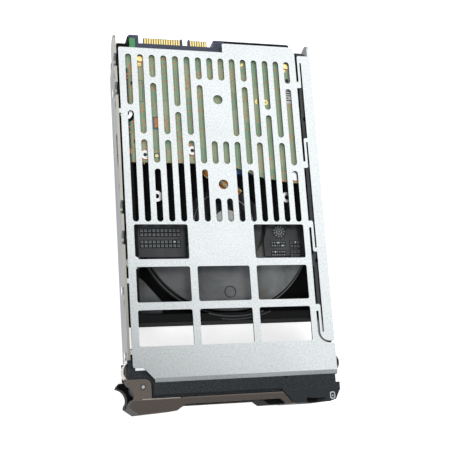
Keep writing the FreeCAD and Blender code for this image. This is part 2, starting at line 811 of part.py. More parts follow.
def drive_casting():
    """Open casting: rails, a stepped floor with bowl and motor ring, bosses and a socket notch."""
    base = new_body("drive_casting")
    inner = f"({DRIVE_HALF} - rail_width)"
    shoulder = f"{REAR} - shoulder_inset"
    left_step = f"shoulder_left - {DRIVE_HALF}"
    right_step = f"{DRIVE_HALF} - shoulder_right"
    add(base, "XY", "cover_gauge", "drive_height - cover_gauge", (polygon, (
        (f"-{DRIVE_HALF}", DRIVE_FRONT), (DRIVE_HALF, DRIVE_FRONT), (DRIVE_HALF, shoulder), (right_step,
        shoulder),
        (right_step, REAR), (left_step, REAR), (left_step, shoulder), (f"-{DRIVE_HALF}", shoulder),
    )))
    round_edges(base, 2, "casting_corner", (f"-{DRIVE_HALF}", DRIVE_FRONT), (DRIVE_HALF, DRIVE_FRONT),
                (DRIVE_HALF, shoulder))
    cut(base, "XY", "cover_gauge", "front_step_tall",
        (rectangle, f"-{DRIVE_HALF} - overrun", f"{DRIVE_HALF} + overrun", f"{DRIVE_FRONT} - overrun",
        f"{DRIVE_FRONT} + front_step_depth"))
    deep = "(drive_height - corner_drop)"
    shelf_front = f"{SPINDLE_Y} - shelf_overrun"
    front_wall = f"{DRIVE_FRONT} + end_wall"
    cut(base, "XY", deep, "corner_drop",
        (rounded, f"-{inner}", inner, front_wall, f"{shelf_front} + 2 * casting_corner", "casting_corner"))
    cut(base, "XY", FLOOR, "floor_drop",
        (rounded, f"-{inner}", inner, shelf_front, f"{REAR} - end_wall", "casting_corner"))
    add(base, "XY", deep, "corner_drop - bowl_drop", (circle, "spindle_side", SPINDLE_Y, "bowl_radius"))
    add(base, "XY", deep, "corner_drop - bowl_lip_drop",
        (circle, "spindle_side", SPINDLE_Y, "bowl_radius + 2 * bowl_lip"),
        (circle, "spindle_side", SPINDLE_Y, "bowl_radius + bowl_lip"))
    add(base, "XY", deep, "corner_drop - corner_shelf_drop", (polygon, (
        (f"-{inner} - overrun", f"{DRIVE_FRONT} + corner_shelf_rear + corner_shelf_side"),
        (f"corner_shelf_side - {inner}", f"{DRIVE_FRONT} + corner_shelf_rear"),
        (f"corner_shelf_width - {inner}", f"{DRIVE_FRONT} + corner_shelf_front"),
        (f"corner_shelf_width - {inner}", f"{front_wall} - overrun"), (f"-{inner} - overrun",
        f"{front_wall} - overrun"),
    )))
    ejector_y = f"{DRIVE_FRONT} + ejector_front"
    cut(base, "XY", "drive_height - bowl_drop - ejector_groove", "ejector_groove",
        (circle, "spindle_side", ejector_y, "ejector_mark"),
        (circle, "spindle_side", ejector_y, "ejector_mark - ejector_groove"))
    add(base, "XY", FLOOR, "plateau_rise",
        (rectangle, "-plateau_left_start", "-plateau_left_end", shelf_front, f"{SPINDLE_Y} + plateau_rear"),
        (rectangle, "spindle_side + motor_ring_in", inner, shelf_front, f"{SPINDLE_Y} + plateau_rear"))
    cut(base, "XY", f"{FLOOR} - motor_ring_drop", "motor_ring_drop + plateau_rise",
        (circle, "spindle_side", SPINDLE_Y, "motor_ring_out"), (circle, "spindle_side", SPINDLE_Y,
        "motor_ring_in"))
    cut(base, "XY", "socket_notch_low", "drive_height - socket_notch_low",
        (rectangle, f"{SOCKET_LEFT} - part_gap", f"{SOCKET_RIGHT} + part_gap",
         f"{REAR} - socket_notch_depth", f"{REAR} + overrun"))
    cut(base, "XY", f"{BOARD_LOW} - board_clear", f"drive_height - {BOARD_LOW} + board_clear",
        (rectangle, f"-{BOARD_LEFT} - board_clear", f"overrun - {inner}",
         f"{BOARD_FRONT} - board_clear", f"{REAR} - board_inset + board_clear"))
    add(base, "XY", FLOOR, "floor_drop", *[(circle, x, y, "bottom_boss_radius") for x,
            y in bottom_hole_places()])
    cut(base, "XY", FLOOR, "floor_drop",
        (rectangle, DRIVE_HALF, f"{DRIVE_HALF} + bottom_boss_radius", DRIVE_FRONT, REAR),
        (rectangle, f"-{DRIVE_HALF} - bottom_boss_radius", f"-{DRIVE_HALF}", DRIVE_FRONT, REAR))
    add(base, "XY", FLOOR, "floor_drop - tie_boss_drop",
        *[(circle, x, y, "tie_boss_radius") for x, y in tie_boss_places()])
    add(base, "XY", FLOOR, "floor_drop - board_gap - board_gauge",
        *[(circle, x, y, "board_boss_radius") for x, y in board_screw_places()])
    side_holes = [(circle, f"{REAR} - side_hole_inset", SIDE_HOLE, "side_hole_radius"),
                  (circle, f"{DRIVE_FRONT} + side_hole_front", SIDE_HOLE, "side_hole_radius")]
    cut(base, "YZ", f"-{DRIVE_HALF}", "side_hole_depth", *side_holes)
    cut(base, "YZ", f"{DRIVE_HALF} - side_hole_depth", "side_hole_depth", *side_holes)
    cut(base, "XY", "drive_height - bottom_hole_depth", "bottom_hole_depth",
        *[(circle, x, y, "bottom_hole_radius") for x, y in bottom_hole_places()])
    cut(base, "XY", FLOOR, "floor_drop - tie_boss_drop",
        *[(circle, x, y, "screw_radius") for x, y in tie_boss_places()])
    cut(base, "XY", FLOOR, "floor_drop - board_gap - board_gauge",
        *[(circle, x, y, "screw_radius + fit_gap") for x, y in board_screw_places()])
    cut(base, "XY", "cover_gauge", "screw_length",
        *[(circle, x, y, "screw_radius + fit_gap") for x, y in cover_screw_places()])


def cover_screw_places():
    side = f"({DRIVE_HALF} - cover_inset - screw_inset)"
    rows = (f"{DRIVE_FRONT} + front_step_depth + cover_inset + screw_inset", f"{REAR} - drive_length / 2",
            f"{REAR} - shoulder_inset - cover_inset - screw_inset")
    return [place for row in rows for place in both_sides(side, row)]


def board_screw_places():
    side = f"({BOARD_RIGHT} - board_screw_side)"
    rear = f"{REAR} - board_inset - board_screw_rear"
    return ((f"-{side}", f"{BOARD_FRONT} + board_screw_front"),
            (side, f"{BOARD_FRONT} - board_screw_front - board_screw_step"),
            ("-board_third_screw", f"{BOARD_FRONT} + board_third_inset"), (f"-{side}", rear), (side, rear))


def drive_cover():
    """Flat cover plate, with a clear seat round each screw."""
    cover = new_body("drive_cover")
    side = f"({DRIVE_HALF} - cover_inset)"
    add(cover, "XY", "0", "cover_gauge",
        (rounded, f"-{side}", side, f"{DRIVE_FRONT} + front_step_depth + cover_inset",
         f"{REAR} - shoulder_inset - cover_inset",
         "cover_corner"))
    cut(cover, "XY", "0", "cover_gauge",
        *[(circle, x, y, "screw_head_radius + fit_gap") for x, y in cover_screw_places()])
    screws = new_body("cover_screws")
    places = cover_screw_places()
    add(screws, "XY", "screw_seat", "cover_gauge - screw_seat",
        *[(circle, x, y, "screw_head_radius") for x, y in places])
    add(screws, "XY", "cover_gauge", "screw_length - part_gap", *[(circle, x, y, "screw_radius") for x,
            y in places])


def board():
    """Circuit board on its bosses, held by five flat screws."""
    pcb = new_body("circuit_board")
    rear = f"{REAR} - board_inset"
    add(pcb, "XY", BOARD_LOW, "board_gauge", (polygon, (
        (f"-{BOARD_LEFT}", rear), (f"-{BOARD_LEFT}", BOARD_FRONT), ("board_step_left", BOARD_FRONT),
        ("board_step_middle", f"{BOARD_FRONT} - board_step_depth"),
        ("board_step_right", f"{BOARD_FRONT} - board_step_end"),
        (BOARD_RIGHT, f"{BOARD_FRONT} - board_step_end"), (BOARD_RIGHT, rear),
        (f"{SOCKET_LEFT} + lug_width", rear), (f"{SOCKET_LEFT} + lug_width", f"{rear} + lug_reach"),
        (SOCKET_LEFT, f"{rear} + lug_reach"), (SOCKET_LEFT, rear),
    )))
    cut(pcb, "XY", BOARD_LOW, "board_gauge",
        *[(circle, x, y, "bottom_boss_radius + part_gap") for x, y in bottom_hole_places()[2:]])
    places = board_screw_places()
    cut(pcb, "XY", BOARD_LOW, "board_gauge", *[(circle, x, y, "screw_radius + fit_gap") for x, y in places])
    screws = new_body("board_screws")
    add(screws, "XY", BOARD_TOP, "board_head", *[(circle, x, y, "board_head_radius") for x, y in places])
    add(screws, "XY", f"{FLOOR} + part_gap", f"{BOARD_TOP} - {FLOOR} - part_gap",
        *[(circle, x, y, "screw_radius") for x, y in places])


def connector():
    """Data and power socket: body, two tongues and a post, with a row of contacts on each tongue."""
    socket = new_body("connector_socket")
    body_front = f"{REAR} - socket_inset"
    body_rear = f"{body_front} + socket_body"
    tip = f"{REAR} + socket_reach"
    power_start = f"{SOCKET_LEFT} + power_inset"
    data_start = f"{SOCKET_LEFT} + data_inset"
    power_left = f"{power_start} - tongue_margin"
    power_right = f"{power_start} + (power_count - 1) * contact_pitch + tongue_margin"
    data_left = f"{data_start} - tongue_margin"
    data_right = f"{data_start} + (data_count - 1) * contact_pitch + tongue_margin"
    add(socket, "XY", "socket_low", f"{BOARD_LOW} - socket_low",
        (rectangle, SOCKET_LEFT, SOCKET_RIGHT, body_front, body_rear))
    add(socket, "XY", "tongue_low", "tongue_tall", (rectangle, power_left, power_right, body_rear, tip),
        (rectangle, data_left, data_right, body_rear, tip))
    add(socket, "XY", "tongue_low", "tongue_tall + key_rise",
        (rectangle, power_right, f"{power_right} + key_rib", body_rear, tip),
        (rectangle, f"{data_left} - key_rib", data_left, body_rear, tip))
    post_rear = f"{REAR} + post_reach"
    add(socket, "XY", "socket_low", f"{BOARD_LOW} - socket_low",
        (rectangle, SOCKET_LEFT, f"{SOCKET_LEFT} + post_width", body_rear, post_rear),
        (rectangle, f"{SOCKET_RIGHT} - post_width", SOCKET_RIGHT, body_rear, tip))
    add(socket, "XY", "rear_rim_low", f"{BOARD_LOW} - rear_rim_low",
        (rectangle, SOCKET_RIGHT, f"{DRIVE_HALF} - shoulder_right", f"{REAR} + fit_gap", tip))
    cut(socket, "XY", FLOOR, f"{BOARD_LOW} - {FLOOR}",
        (circle, *board_screw_places()[3], "board_boss_radius + part_gap"))
    for label, start, count in (("power_contacts", power_start, "power_count"),
                                ("data_contacts", data_start, "data_count")):
        contacts = new_body(label)
        left = f"{start} - contact_width / 2"
        strip = add(contacts, "XY", "tongue_low + tongue_tall", "contact_tall",
                    (rectangle, left, f"{left} + contact_width", body_rear, f"{tip} - part_gap"))
        array(contacts, [strip], ("X_Axis", "contact_pitch", count))


def motor():
    """Spindle motor flange with its bolts, and the flat lead to the board."""
    spindle = new_body("spindle_motor")
    add(spindle, "XY", FLOOR, "flange_tall", (circle, "spindle_side", SPINDLE_Y, "flange_radius"))
    add(spindle, "XY", FLOOR, "motor_tall", (circle, "spindle_side", SPINDLE_Y, "motor_radius"))
    bolts = []
    for corner in range(3):
        x = f"spindle_side + motor_bolt_circle * cos({120 * corner + 30})"
        y = f"{SPINDLE_Y} + motor_bolt_circle * sin({120 * corner + 30})"
        bolts.append((circle, x, y, "motor_bolt_radius"))
    add(spindle, "XY", FLOOR, "flange_tall + motor_bolt_head", *bolts)
    lead = new_body("motor_lead")
    rear = f"{SPINDLE_Y} + lead_rear"
    turn = f"{SPINDLE_Y} + lead_turn"
    add(lead, "XY", FLOOR, "lead_gauge", (polygon, (
        ("lead_left", rear), ("lead_left", turn), ("lead_left + lead_slant", f"{turn} - lead_fall"),
        ("lead_left + lead_slant + lead_band", f"{turn} - lead_fall + lead_band"),
        ("lead_left + lead_width", f"{turn} + lead_crook"), ("lead_left + lead_width", rear),
    )))


def bezel():
    """Moulded bezel: vented front wall, shelf under the sheet, side arms, hinge block, latch cavity."""
    frame = new_body("bezel_frame")
    rear = f"{FRONT} - bezel_rear"
    cheek_out = f"-{WALL_OUT}"
    hinge_right = f"hinge_block_right - {WALL_OUT}"
    hinge_rear = f"{FRONT} + hinge_block_rear"
    arm_out = f"({WALL_IN} - seam)"
    arm_in = f"({WALL_IN} - arm_thickness)"
    cheek_end = f"{FRONT} + cheek_end"
    depth = "bezel_front - bezel_rear"
    add(frame, "XY", "0", TOP, (rectangle, hinge_right, BEZEL_RIGHT, BEZEL_FACE, rear))
    add(frame, "XY", HINGE_LOW, f"{HINGE_HIGH} - {HINGE_LOW}", (polygon, (
        (f"{hinge_right} + overrun", BEZEL_FACE), (PIVOT_X, BEZEL_FACE), (PIVOT_X, PIVOT_Y),
        (f"{PIVOT_X} - hub_radius", PIVOT_Y), (f"{PIVOT_X} - hub_radius",
        f"{FRONT} + cheek_start - overrun"),
        (cheek_out, f"{FRONT} + cheek_start"), (cheek_out, cheek_end), (f"-{arm_in}", cheek_end),
        (f"-{arm_in}", hinge_rear), (f"{hinge_right} + overrun", hinge_rear),
    )))
    add(frame, "XY", HINGE_LOW, f"{HINGE_HIGH} - {HINGE_LOW}", (circle, PIVOT_X, PIVOT_Y, "hub_radius"))
    add(frame, "XY", "drive_height - shelf_depth", "shelf_depth",
        (rectangle, f"{hinge_right} + overrun", arm_in, rear, f"{FRONT} + shelf_reach"))
    add(frame, "XY", HINGE_LOW, f"drive_height - {HINGE_LOW}",
        (rectangle, arm_in, WALL_OUT, rear, cheek_end))
    arm = (f"{FRONT} + cheek_end - overrun", f"{FRONT} + arm_reach")
    add(frame, "XY", "arm_low", f"{HINGE_HIGH} - arm_low", (rectangle, f"-{arm_out}", f"-{arm_in}", *arm),
        (rectangle, arm_in, arm_out, *arm))
    cut(frame, "XY", "claw_slot_low", "claw_slot_high - claw_slot_low",
        (rectangle, f"-{WALL_OUT} - claw_reach", f"{PIVOT_X} + hub_radius", f"{BEZEL_FACE} - overrun",
        f"{cheek_end} + overrun"))
    vent_count = int(value("vent_count"))
    width = f"(vent_right - vent_left - {vent_count - 1} * vent_rib) / {vent_count}"
    vents = []
    for number in range(vent_count):
        left = f"vent_left + {number} * ({width} + vent_rib)"
        vents.append((rectangle, left, f"{left} + {width}", "vent_low", "vent_high"))
    cut(frame, "XZ", f"-{rear} - overrun", f"{depth} + 2 * overrun", *vents)
    cut(frame, "XY", f"latch_low - part_gap", "latch_tall + 2 * part_gap",
        (rectangle, f"{BEZEL_RIGHT} - cavity_left", f"{BEZEL_RIGHT} - cavity_right",
        f"{BEZEL_FACE} - overrun",
         f"{FRONT} - cavity_back"))
    cut(frame, "XY", f"{TOP} - rebate_depth", "rebate_depth",
        (rectangle, hinge_right, f"{WALL_OUT} - grip_right", f"{BEZEL_FACE} - overrun",
        f"{BEZEL_FACE} + rebate_width"),
        (rectangle, f"{WALL_OUT} - rear_nick_inset - rear_nick", f"{WALL_OUT} - rear_nick_inset + rear_nick",
         f"{rear} - rear_nick", f"{rear} + overrun"))
    cut(frame, "XY", "0", TOP, (circle, PIVOT_X, PIVOT_Y, "pin_radius + pin_gap"))
    cut(frame, "YZ", f"-{WALL_IN} - overrun", "arm_thickness + overrun",
        (circle, f"{FRONT} + rivet_place", "rivet_height", "rivet_radius + fit_gap"))
    cut(frame, "YZ", arm_in, "arm_thickness",
        (circle, f"{FRONT} + rivet_place", "rivet_height", "rivet_radius + fit_gap"))

    rivets = new_body("bezel_rivets")
    head = (circle, f"{FRONT} + rivet_place", "rivet_height", "rivet_head_radius")
    shank = (circle, f"{FRONT} + rivet_place", "rivet_height", "rivet_radius")
    add(rivets, "YZ", f"-{WALL_OUT} - rivet_head", "rivet_head", head)
    add(rivets, "YZ", f"-{WALL_OUT}", "wall_gauge + arm_thickness", shank)
    add(rivets, "YZ", WALL_OUT, "rivet_head", head)
    add(rivets, "YZ", f"{WALL_IN} - arm_thickness", "wall_gauge + arm_thickness", shank)


def end_cap():
    """Smooth cap at the latch end, with a finger scoop, a slot for the latch and two lenses."""
    cap = new_body("end_cap")
    face = f"{BEZEL_FACE} - seam"
    front = f"{FRONT} - cap_front"
    slant = "cap_slant_gap"
    scoop_left = f"{WALL_OUT} - scoop_left_inset"
    scoop_right = f"{WALL_OUT} - scoop_right_inset"
    flange_out = f"{WALL_OUT} + cap_flange"
    flange_start = f"{FRONT} - cap_flange_start"
    add(cap, "XY", "0", TOP, (polygon, (
        (f"{WALL_OUT} - grip_right + {slant}", face), (flange_out, face),
        (flange_out, f"{FRONT} - cap_shoulder"), (f"{WALL_OUT} - cap_nose_inset",
        f"{front} + cap_nose_drop"),
        (f"{WALL_OUT} - cap_nose_flat", front), (f"{WALL_OUT} - grip_right + grip_slant + {slant}", front),
    )))
    add(cap, "XY", "0", TOP, (rectangle, f"{BEZEL_RIGHT} + seam", flange_out, f"{face} - overrun",
            flange_start))
    cut(cap, "XY", "scoop_sill", TOP, (rectangle, scoop_left, scoop_right, f"{front} - overrun",
            f"{FRONT} - scoop_floor"))
    stem_left = f"{BEZEL_RIGHT} - stem_left"
    cut(cap, "XY", "latch_low + stem_inset - part_gap", "latch_tall - 2 * stem_inset + 2 * part_gap",
        (rectangle, f"{stem_left} - part_gap", f"{stem_left} + stem_width + latch_travel + part_gap",
         f"{FRONT} - scoop_floor - overrun", f"{face} + overrun"))
    lens_left = f"{WALL_OUT} - lens_inset"
    for number in range(2):
        low = f"lens_low + {number} * lens_step"
        cut(cap, "XZ", f"cap_front - {FRONT} - lens_depth", "lens_depth + overrun",
            (rectangle, lens_left, f"{lens_left} + lens_width", low, f"{low} + lens_height"))
    lenses = new_body("status_lenses")
    for number in range(2):
        low = f"lens_low + {number} * lens_step"
        add(lenses, "XZ", f"cap_front - {FRONT} - lens_depth", "lens_depth - lens_recess",
            (rectangle, f"{lens_left} + fit_gap", f"{lens_left} + lens_width - fit_gap", f"{low} + fit_gap",
             f"{low} + lens_height - fit_gap"))


def handle():
    """Lever frame: two hinge plates, a faceted nose, a slim bar and a slanted leg."""
    lever = new_body("handle_frame")
    bar_rear = f"{FRONT} - bar_rear"
    bar_front = f"{FRONT} - bar_front"
    nose_front = f"{FRONT} - nose_front"
    grip_front = f"{FRONT} - grip_depth"
    grip_x = f"{WALL_OUT} - grip_right"
    nose_x = f"{PIVOT_X} - nose_left"
    slope_x = f"{PIVOT_X} + nose_right"
    lip_x = f"{PIVOT_X} - lip_left"
    add(lever, "XY", "0", TOP, (polygon, (
        (f"{lip_x} + lip_back", bar_rear), (lip_x, f"{FRONT} - lip_front"), (nose_x, nose_front),
        (slope_x, f"{nose_front} + nose_rise"), (f"{slope_x} + nose_slope", bar_front),
        (f"{grip_x} - leg_width + leg_taper", bar_front), (f"{grip_x} - leg_width + grip_slant", grip_front),
        (f"{grip_x} + grip_slant", grip_front), (grip_x, bar_rear),
    )))
    plate = (polygon, (
        (f"{PIVOT_X} - plate_left", f"{PIVOT_Y} + plate_rear"), (f"{PIVOT_X} - plate_left",
        f"{PIVOT_Y} + plate_side"),
        (f"{PIVOT_X} - plate_waist", f"{PIVOT_Y} + plate_neck"), (f"{lip_x} + lip_back",
        f"{bar_rear} - plate_lap"),
        (f"{PIVOT_X} + plate_right", f"{bar_rear} - plate_lap"), (f"{PIVOT_X} + plate_right",
        f"{PIVOT_Y} + plate_rear"),
    ))
    add(lever, "XY", f"{TOP} - hinge_plate", "hinge_plate", plate)
    add(lever, "XY", "0", "hinge_plate", plate)
    cut(lever, "XY", f"{TOP} - rebate_depth", "rebate_depth",
        (rectangle, f"{PIVOT_X} + plate_right", f"{PIVOT_X} + bar_step_end", f"{bar_rear} - bar_step",
        f"{bar_rear} + overrun"))
    round_edges(lever, 2, "plate_corner", (f"{PIVOT_X} + plate_right", f"{PIVOT_Y} + plate_rear"))
    round_edges(lever, 2, "plate_left_corner", (f"{PIVOT_X} - plate_left", f"{PIVOT_Y} + plate_rear"))
    cut(lever, "XY", "0", TOP,
        (circle, f"{PIVOT_X} - mouth_left", f"{PIVOT_Y} - mouth_front", "mouth_radius"))
    cut(lever, "XY", "claw_low - part_gap", "claw_high - claw_low + 2 * part_gap", (rectangle,
        f"{PIVOT_X} - claw_reach - overrun", f"{PIVOT_X} - jaw_right + part_gap",
        f"{PIVOT_Y} - jaw_depth - part_gap",
        f"{bar_rear} + overrun"))
    fold = f"{FRONT} - bar_fold"
    far = f"{nose_front} - overrun"
    cut(lever, "YZ", f"-2 * {WALL_OUT}", f"4 * {WALL_OUT}",
        (polygon, ((fold, TOP), (far, f"{TOP} - bar_slope"), (far, f"{TOP} + overrun"), (fold,
        f"{TOP} + overrun"))),
        (polygon, ((fold, "0"), (far, "bar_slope"), (far, "-overrun"), (fold, "-overrun"))))
    opening_left = f"{slope_x} + nose_slope"
    opening_right = f"{grip_x} - leg_width - grip_stop"
    cut(lever, "XZ", f"bar_rear - {FRONT} - overrun", "bar_front - bar_rear + 2 * overrun",
        (rectangle, opening_left, opening_right, "handle_band", f"{TOP} - handle_band"))
    cut(lever, "XY", "0", TOP, (circle, PIVOT_X, PIVOT_Y, "pin_radius + pin_gap"))
    catch_x = f"{WALL_OUT} - catch_right"
    catch_rear = f"{FRONT} - catch_reach"
    add(lever, "XY", "catch_low", "catch_tall", (polygon, (
        (catch_x, f"{bar_rear} - overrun"), (f"{catch_x} + catch_width", f"{bar_rear} - overrun"),
        (f"{catch_x} + catch_width", f"{catch_rear} - catch_height"),
        (f"{catch_x} + catch_width + catch_barb", f"{catch_rear} - catch_height"),
        (f"{catch_x} + catch_width + catch_barb", catch_rear), (catch_x, catch_rear),
    )))

    grille = new_body("handle_grille")
    left, right = f"({opening_left} + fit_gap)", f"({opening_right} - fit_gap)"
    low, high = "(handle_band + fit_gap)", f"({TOP} - handle_band - fit_gap)"
    add(grille, "XZ", f"grille_back - {FRONT}", "grille_front - grille_back", (rectangle, left, right,
            low, high))
    honeycomb(grille, left, right, low, high)
    add(grille, "XY", "handle_band + part_gap", f"{TOP} - 2 * handle_band - 2 * part_gap", (polygon, (
        (f"{opening_right} - overrun", bar_front), (f"{grip_x} - leg_width - grip_fill", grip_front),
        (f"{grip_x} - leg_width + grip_slant", grip_front), (f"{grip_x} - leg_width + leg_taper", bar_front),
    )))


def honeycomb(grille, left, right, low, high):
    """Hexagonal cells, in staggered columns, that fill a rectangle inside a rim of one web."""
    step = "(cell_across + cell_web)"
    across = value("cell_across")
    room_x = value(right) - value(left) - 2 * value("cell_web") - 2 * across / math.sqrt(3)
    room_z = value(high) - value(low) - 2 * value("cell_web") - across - value(step) / 2
    columns = int(room_x / value(step) / math.sqrt(0.75)) + 1
    rows = int(room_z / value(step)) + 1
    first_x = f"({left} + {right}) / 2 - {(columns - 1) / 2} * {step} * sqrt(0.75)"
    first_z = f"({low} + {high}) / 2 - {(rows - 0.5) / 2} * {step}"
    for stagger in (0, 1):
        x = f"({first_x} + {stagger} * {step} * sqrt(0.75))"
        z = f"({first_z} + {0.5 * stagger} * {step})"
        cell = (polygon, [
            (f"{x} + cell_across / sqrt(3) * cos({60 * k})", f"{z} + cell_across / sqrt(3) * sin({60 * k})")
            for k in range(6)])
        hole = cut(grille, "XZ", f"grille_back - {FRONT}", "grille_front - grille_back", cell)
        array(grille, [hole], ("X_Axis", f"{step} * sqrt(3)", f"{(columns + 1 - stagger) // 2}"),
              ("Z_Axis", step, f"{rows}"))


def claw_and_pin():
    """Ejector claw round the hinge pin, between the hinge plates."""
    claw = new_body("ejector_claw")
    tip = f"{PIVOT_X} - claw_reach"
    seat = f"{FRONT} - bar_rear"
    jaw_low = f"{PIVOT_Y} - jaw_depth"
    add(claw, "XY", "claw_low", "claw_high - claw_low", (polygon, (
        (tip, f"{FRONT} - claw_tip"), (f"{tip} + claw_bevel", FRONT), (f"{tip} + claw_neck",
        f"{FRONT} + claw_back"),
        (f"{PIVOT_X} - claw_shoulder", f"{PIVOT_Y} + claw_hub"),
        (f"{PIVOT_X} + claw_right", f"{PIVOT_Y} + claw_hub - claw_bevel"), (f"{PIVOT_X} + claw_right",
        seat), (f"{PIVOT_X} - jaw_right", seat), (f"{PIVOT_X} - jaw_right", jaw_low),
        (f"{PIVOT_X} - jaw_left", jaw_low),
    )))
    cut(claw, "XY", "claw_low", "claw_high - claw_low",
        (circle, f"{PIVOT_X} - claw_hollow_left", f"{PIVOT_Y} - claw_hollow_front", "claw_hollow_radius"),
        (circle, PIVOT_X, PIVOT_Y, "pin_radius + pin_gap"))
    pin = new_body("hinge_pin")
    add(pin, "XY", "pin_proud", TOP, (circle, PIVOT_X, PIVOT_Y, "pin_radius"))


def latch():
    """Sliding latch: hooked body in the bezel, a stem through the cap and a thumb pad."""
    slide = new_body("release_latch")
    left = f"{WALL_OUT} - latch_left"
    face = f"{FRONT} - latch_face"
    back = f"{FRONT} - latch_back"
    barb_front = f"{FRONT} - catch_reach - catch_height"
    nose_left = f"{WALL_OUT} - catch_right + catch_width + catch_barb - nose_bite"
    stem_left = f"{BEZEL_RIGHT} - stem_left"
    pad_left = f"{WALL_OUT} - pad_left"
    scoop = f"{FRONT} - scoop_floor"
    add(slide, "XY", "latch_low", "latch_tall", (rectangle, left, f"{left} + latch_length", face, back))
    add(slide, "XY", "catch_low", "catch_tall",
        (rectangle, nose_left, f"{left} + overrun", f"{barb_front} - part_gap - nose_height",
        f"{barb_front} - part_gap"))
    add(slide, "XY", "latch_low + stem_inset", "latch_tall - 2 * stem_inset",
        (rectangle, stem_left, f"{stem_left} + stem_width", f"{scoop} - overrun", f"{face} + overrun"))
    add(slide, "XY", "pad_low", f"{TOP} - 2 * pad_low",
        (rectangle, pad_left, f"{pad_left} + pad_width", f"{FRONT} - pad_front", f"{scoop} - part_gap"))


def contact_springs():
    """Bowed contact springs on the bezel's cheeks, each split into three fingers."""
    chord = "(emi_end - emi_start)"
    bend = f"(({chord} * {chord} / 4 + emi_bow * emi_bow) / (2 * emi_bow))"
    for label, side in (("contact_spring_left", "-1"), ("contact_spring_right", "1")):
        spring = new_body(label)
        middle_x = f"{side} * ({WALL_OUT} + emi_bow - {bend})"
        middle_y = f"{FRONT} + (emi_start + emi_end) / 2"
        add(spring, "XY", "emi_low", "emi_tall", (circle, middle_x, middle_y, bend))
        cut(spring, "XY", "emi_low", "emi_tall", (circle, middle_x, middle_y, f"{bend} - emi_gauge"))
        one, two = f"{side} * ({WALL_OUT} + seam)", f"{side} * ({WALL_OUT} - 2 * {bend})"
        low, high = (one, two) if side == "1" else (two, one)
        inner = (two, one) if side == "1" else (one, two)
        cut(spring, "XY", "emi_low", "emi_tall",
            (rectangle, inner[0], inner[1], f"{FRONT} + emi_start - {bend}", f"{FRONT} + emi_end + {bend}"))
        out = f"{side} * ({WALL_OUT} + seam + emi_gauge)"
        foot = (out, one) if side == "-1" else (one, out)
        add(spring, "XY", "emi_low", "emi_tall",
            (rectangle, *foot, f"{FRONT} + emi_end - emi_gauge", f"{FRONT} + emi_end + emi_foot"))
        third = "(emi_tall - 2 * emi_slit) / 3"
        for number in (1, 2):
            start = f"emi_low + {number} * {third} + {number - 1} * emi_slit"
            cut(spring, "XY", start, "emi_slit",
                (rectangle, f"{middle_x} - 2 * {bend}", f"{middle_x} + 2 * {bend}",
                 f"{FRONT} + emi_start - overrun", f"{FRONT} + emi_end - overrun"))


tray_sheet()
drive_studs()
drive_casting()
drive_cover()
board()
connector()
motor()
bezel()
end_cap()
handle()
claw_and_pin()
latch()
contact_springs()
doc.recompute()

failed = [item.Label for item in doc.Objects if "Invalid" in item.State or "Error" in item.State]
if failed:
    raise ValueError("not built: " + ", ".join(failed))
for part in parts:
    if part.Shape.isNull() or not part.Shape.isValid():
        raise ValueError("no valid shape: " + part.Label)
os.makedirs("parts", exist_ok=True)
for part in parts:
    part.Shape.exportStep(f"parts/{part.Label}.step")
    print(part.Label, len(part.Shape.Solids), round(part.Shape.Volume, 1))
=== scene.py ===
# %% [markdown]
# # A hot-swap drive caddy
# This lesson dresses a packed mechanical model in Blender: a folded, galvanised tray with a
# moulded bezel and a swing handle, and the hard disk drive that it carries.  The construction
# is fixed, so everything here is about looks: the surfaces, the small soldered, printed and
# moulded details, the light and the camera.

# %% Load the fixed frame
import math

import bmesh
import bpy
from mathutils import Matrix, Vector


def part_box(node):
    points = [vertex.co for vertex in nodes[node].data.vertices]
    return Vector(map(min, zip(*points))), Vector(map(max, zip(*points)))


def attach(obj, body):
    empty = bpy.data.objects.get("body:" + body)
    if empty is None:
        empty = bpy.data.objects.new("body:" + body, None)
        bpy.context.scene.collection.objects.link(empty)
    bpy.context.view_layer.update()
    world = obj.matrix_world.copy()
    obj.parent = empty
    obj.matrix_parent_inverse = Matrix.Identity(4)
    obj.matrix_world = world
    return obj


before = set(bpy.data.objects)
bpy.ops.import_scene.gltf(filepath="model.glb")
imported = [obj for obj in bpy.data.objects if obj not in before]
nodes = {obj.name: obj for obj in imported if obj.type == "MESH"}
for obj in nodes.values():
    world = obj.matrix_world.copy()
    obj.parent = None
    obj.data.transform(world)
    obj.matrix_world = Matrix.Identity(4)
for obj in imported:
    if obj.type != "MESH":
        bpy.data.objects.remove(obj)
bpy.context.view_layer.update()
MM = 0.001

# %% [markdown]
# ## Camera
# The camera looks down on the sheet face from high above, through a lens a little longer than
# normal, so that the far end of the tray looks hardly smaller than the near one.  Setting the
# three axes of the camera outright is exact, where aiming it at a target would leave its roll
# to chance.  The lens is shifted a little, as a view camera's is, so that the sides of the tray
# converge as they should while the object stays in the frame.

# %% Camera
CAMERA_PLACE = (-106.08, -103.23, 406.18)
CAMERA_RIGHT = (0.965745, -0.065768, 0.251019)
CAMERA_UP = (0.020188, 0.983459, 0.180004)
CAMERA_BACK = (-0.258706, -0.168770, 0.951098)
camera_data = bpy.data.cameras.new("studio_camera")
camera_data.lens = 64.8
camera_data.sensor_width = 36.0
camera_data.shift_y = 0.14
camera_data.clip_start = 0.02
camera = bpy.data.objects.new("studio_camera", camera_data)
bpy.context.scene.collection.objects.link(camera)
turn = Matrix([Vector(axis) for axis in (CAMERA_RIGHT, CAMERA_UP, CAMERA_BACK)]).transposed().to_4x4()
camera.matrix_world = Matrix.Translation(Vector(CAMERA_PLACE) * MM) @ turn
bpy.context.scene.camera = camera
print("camera height in mm", round(camera.matrix_world.translation.z / MM))

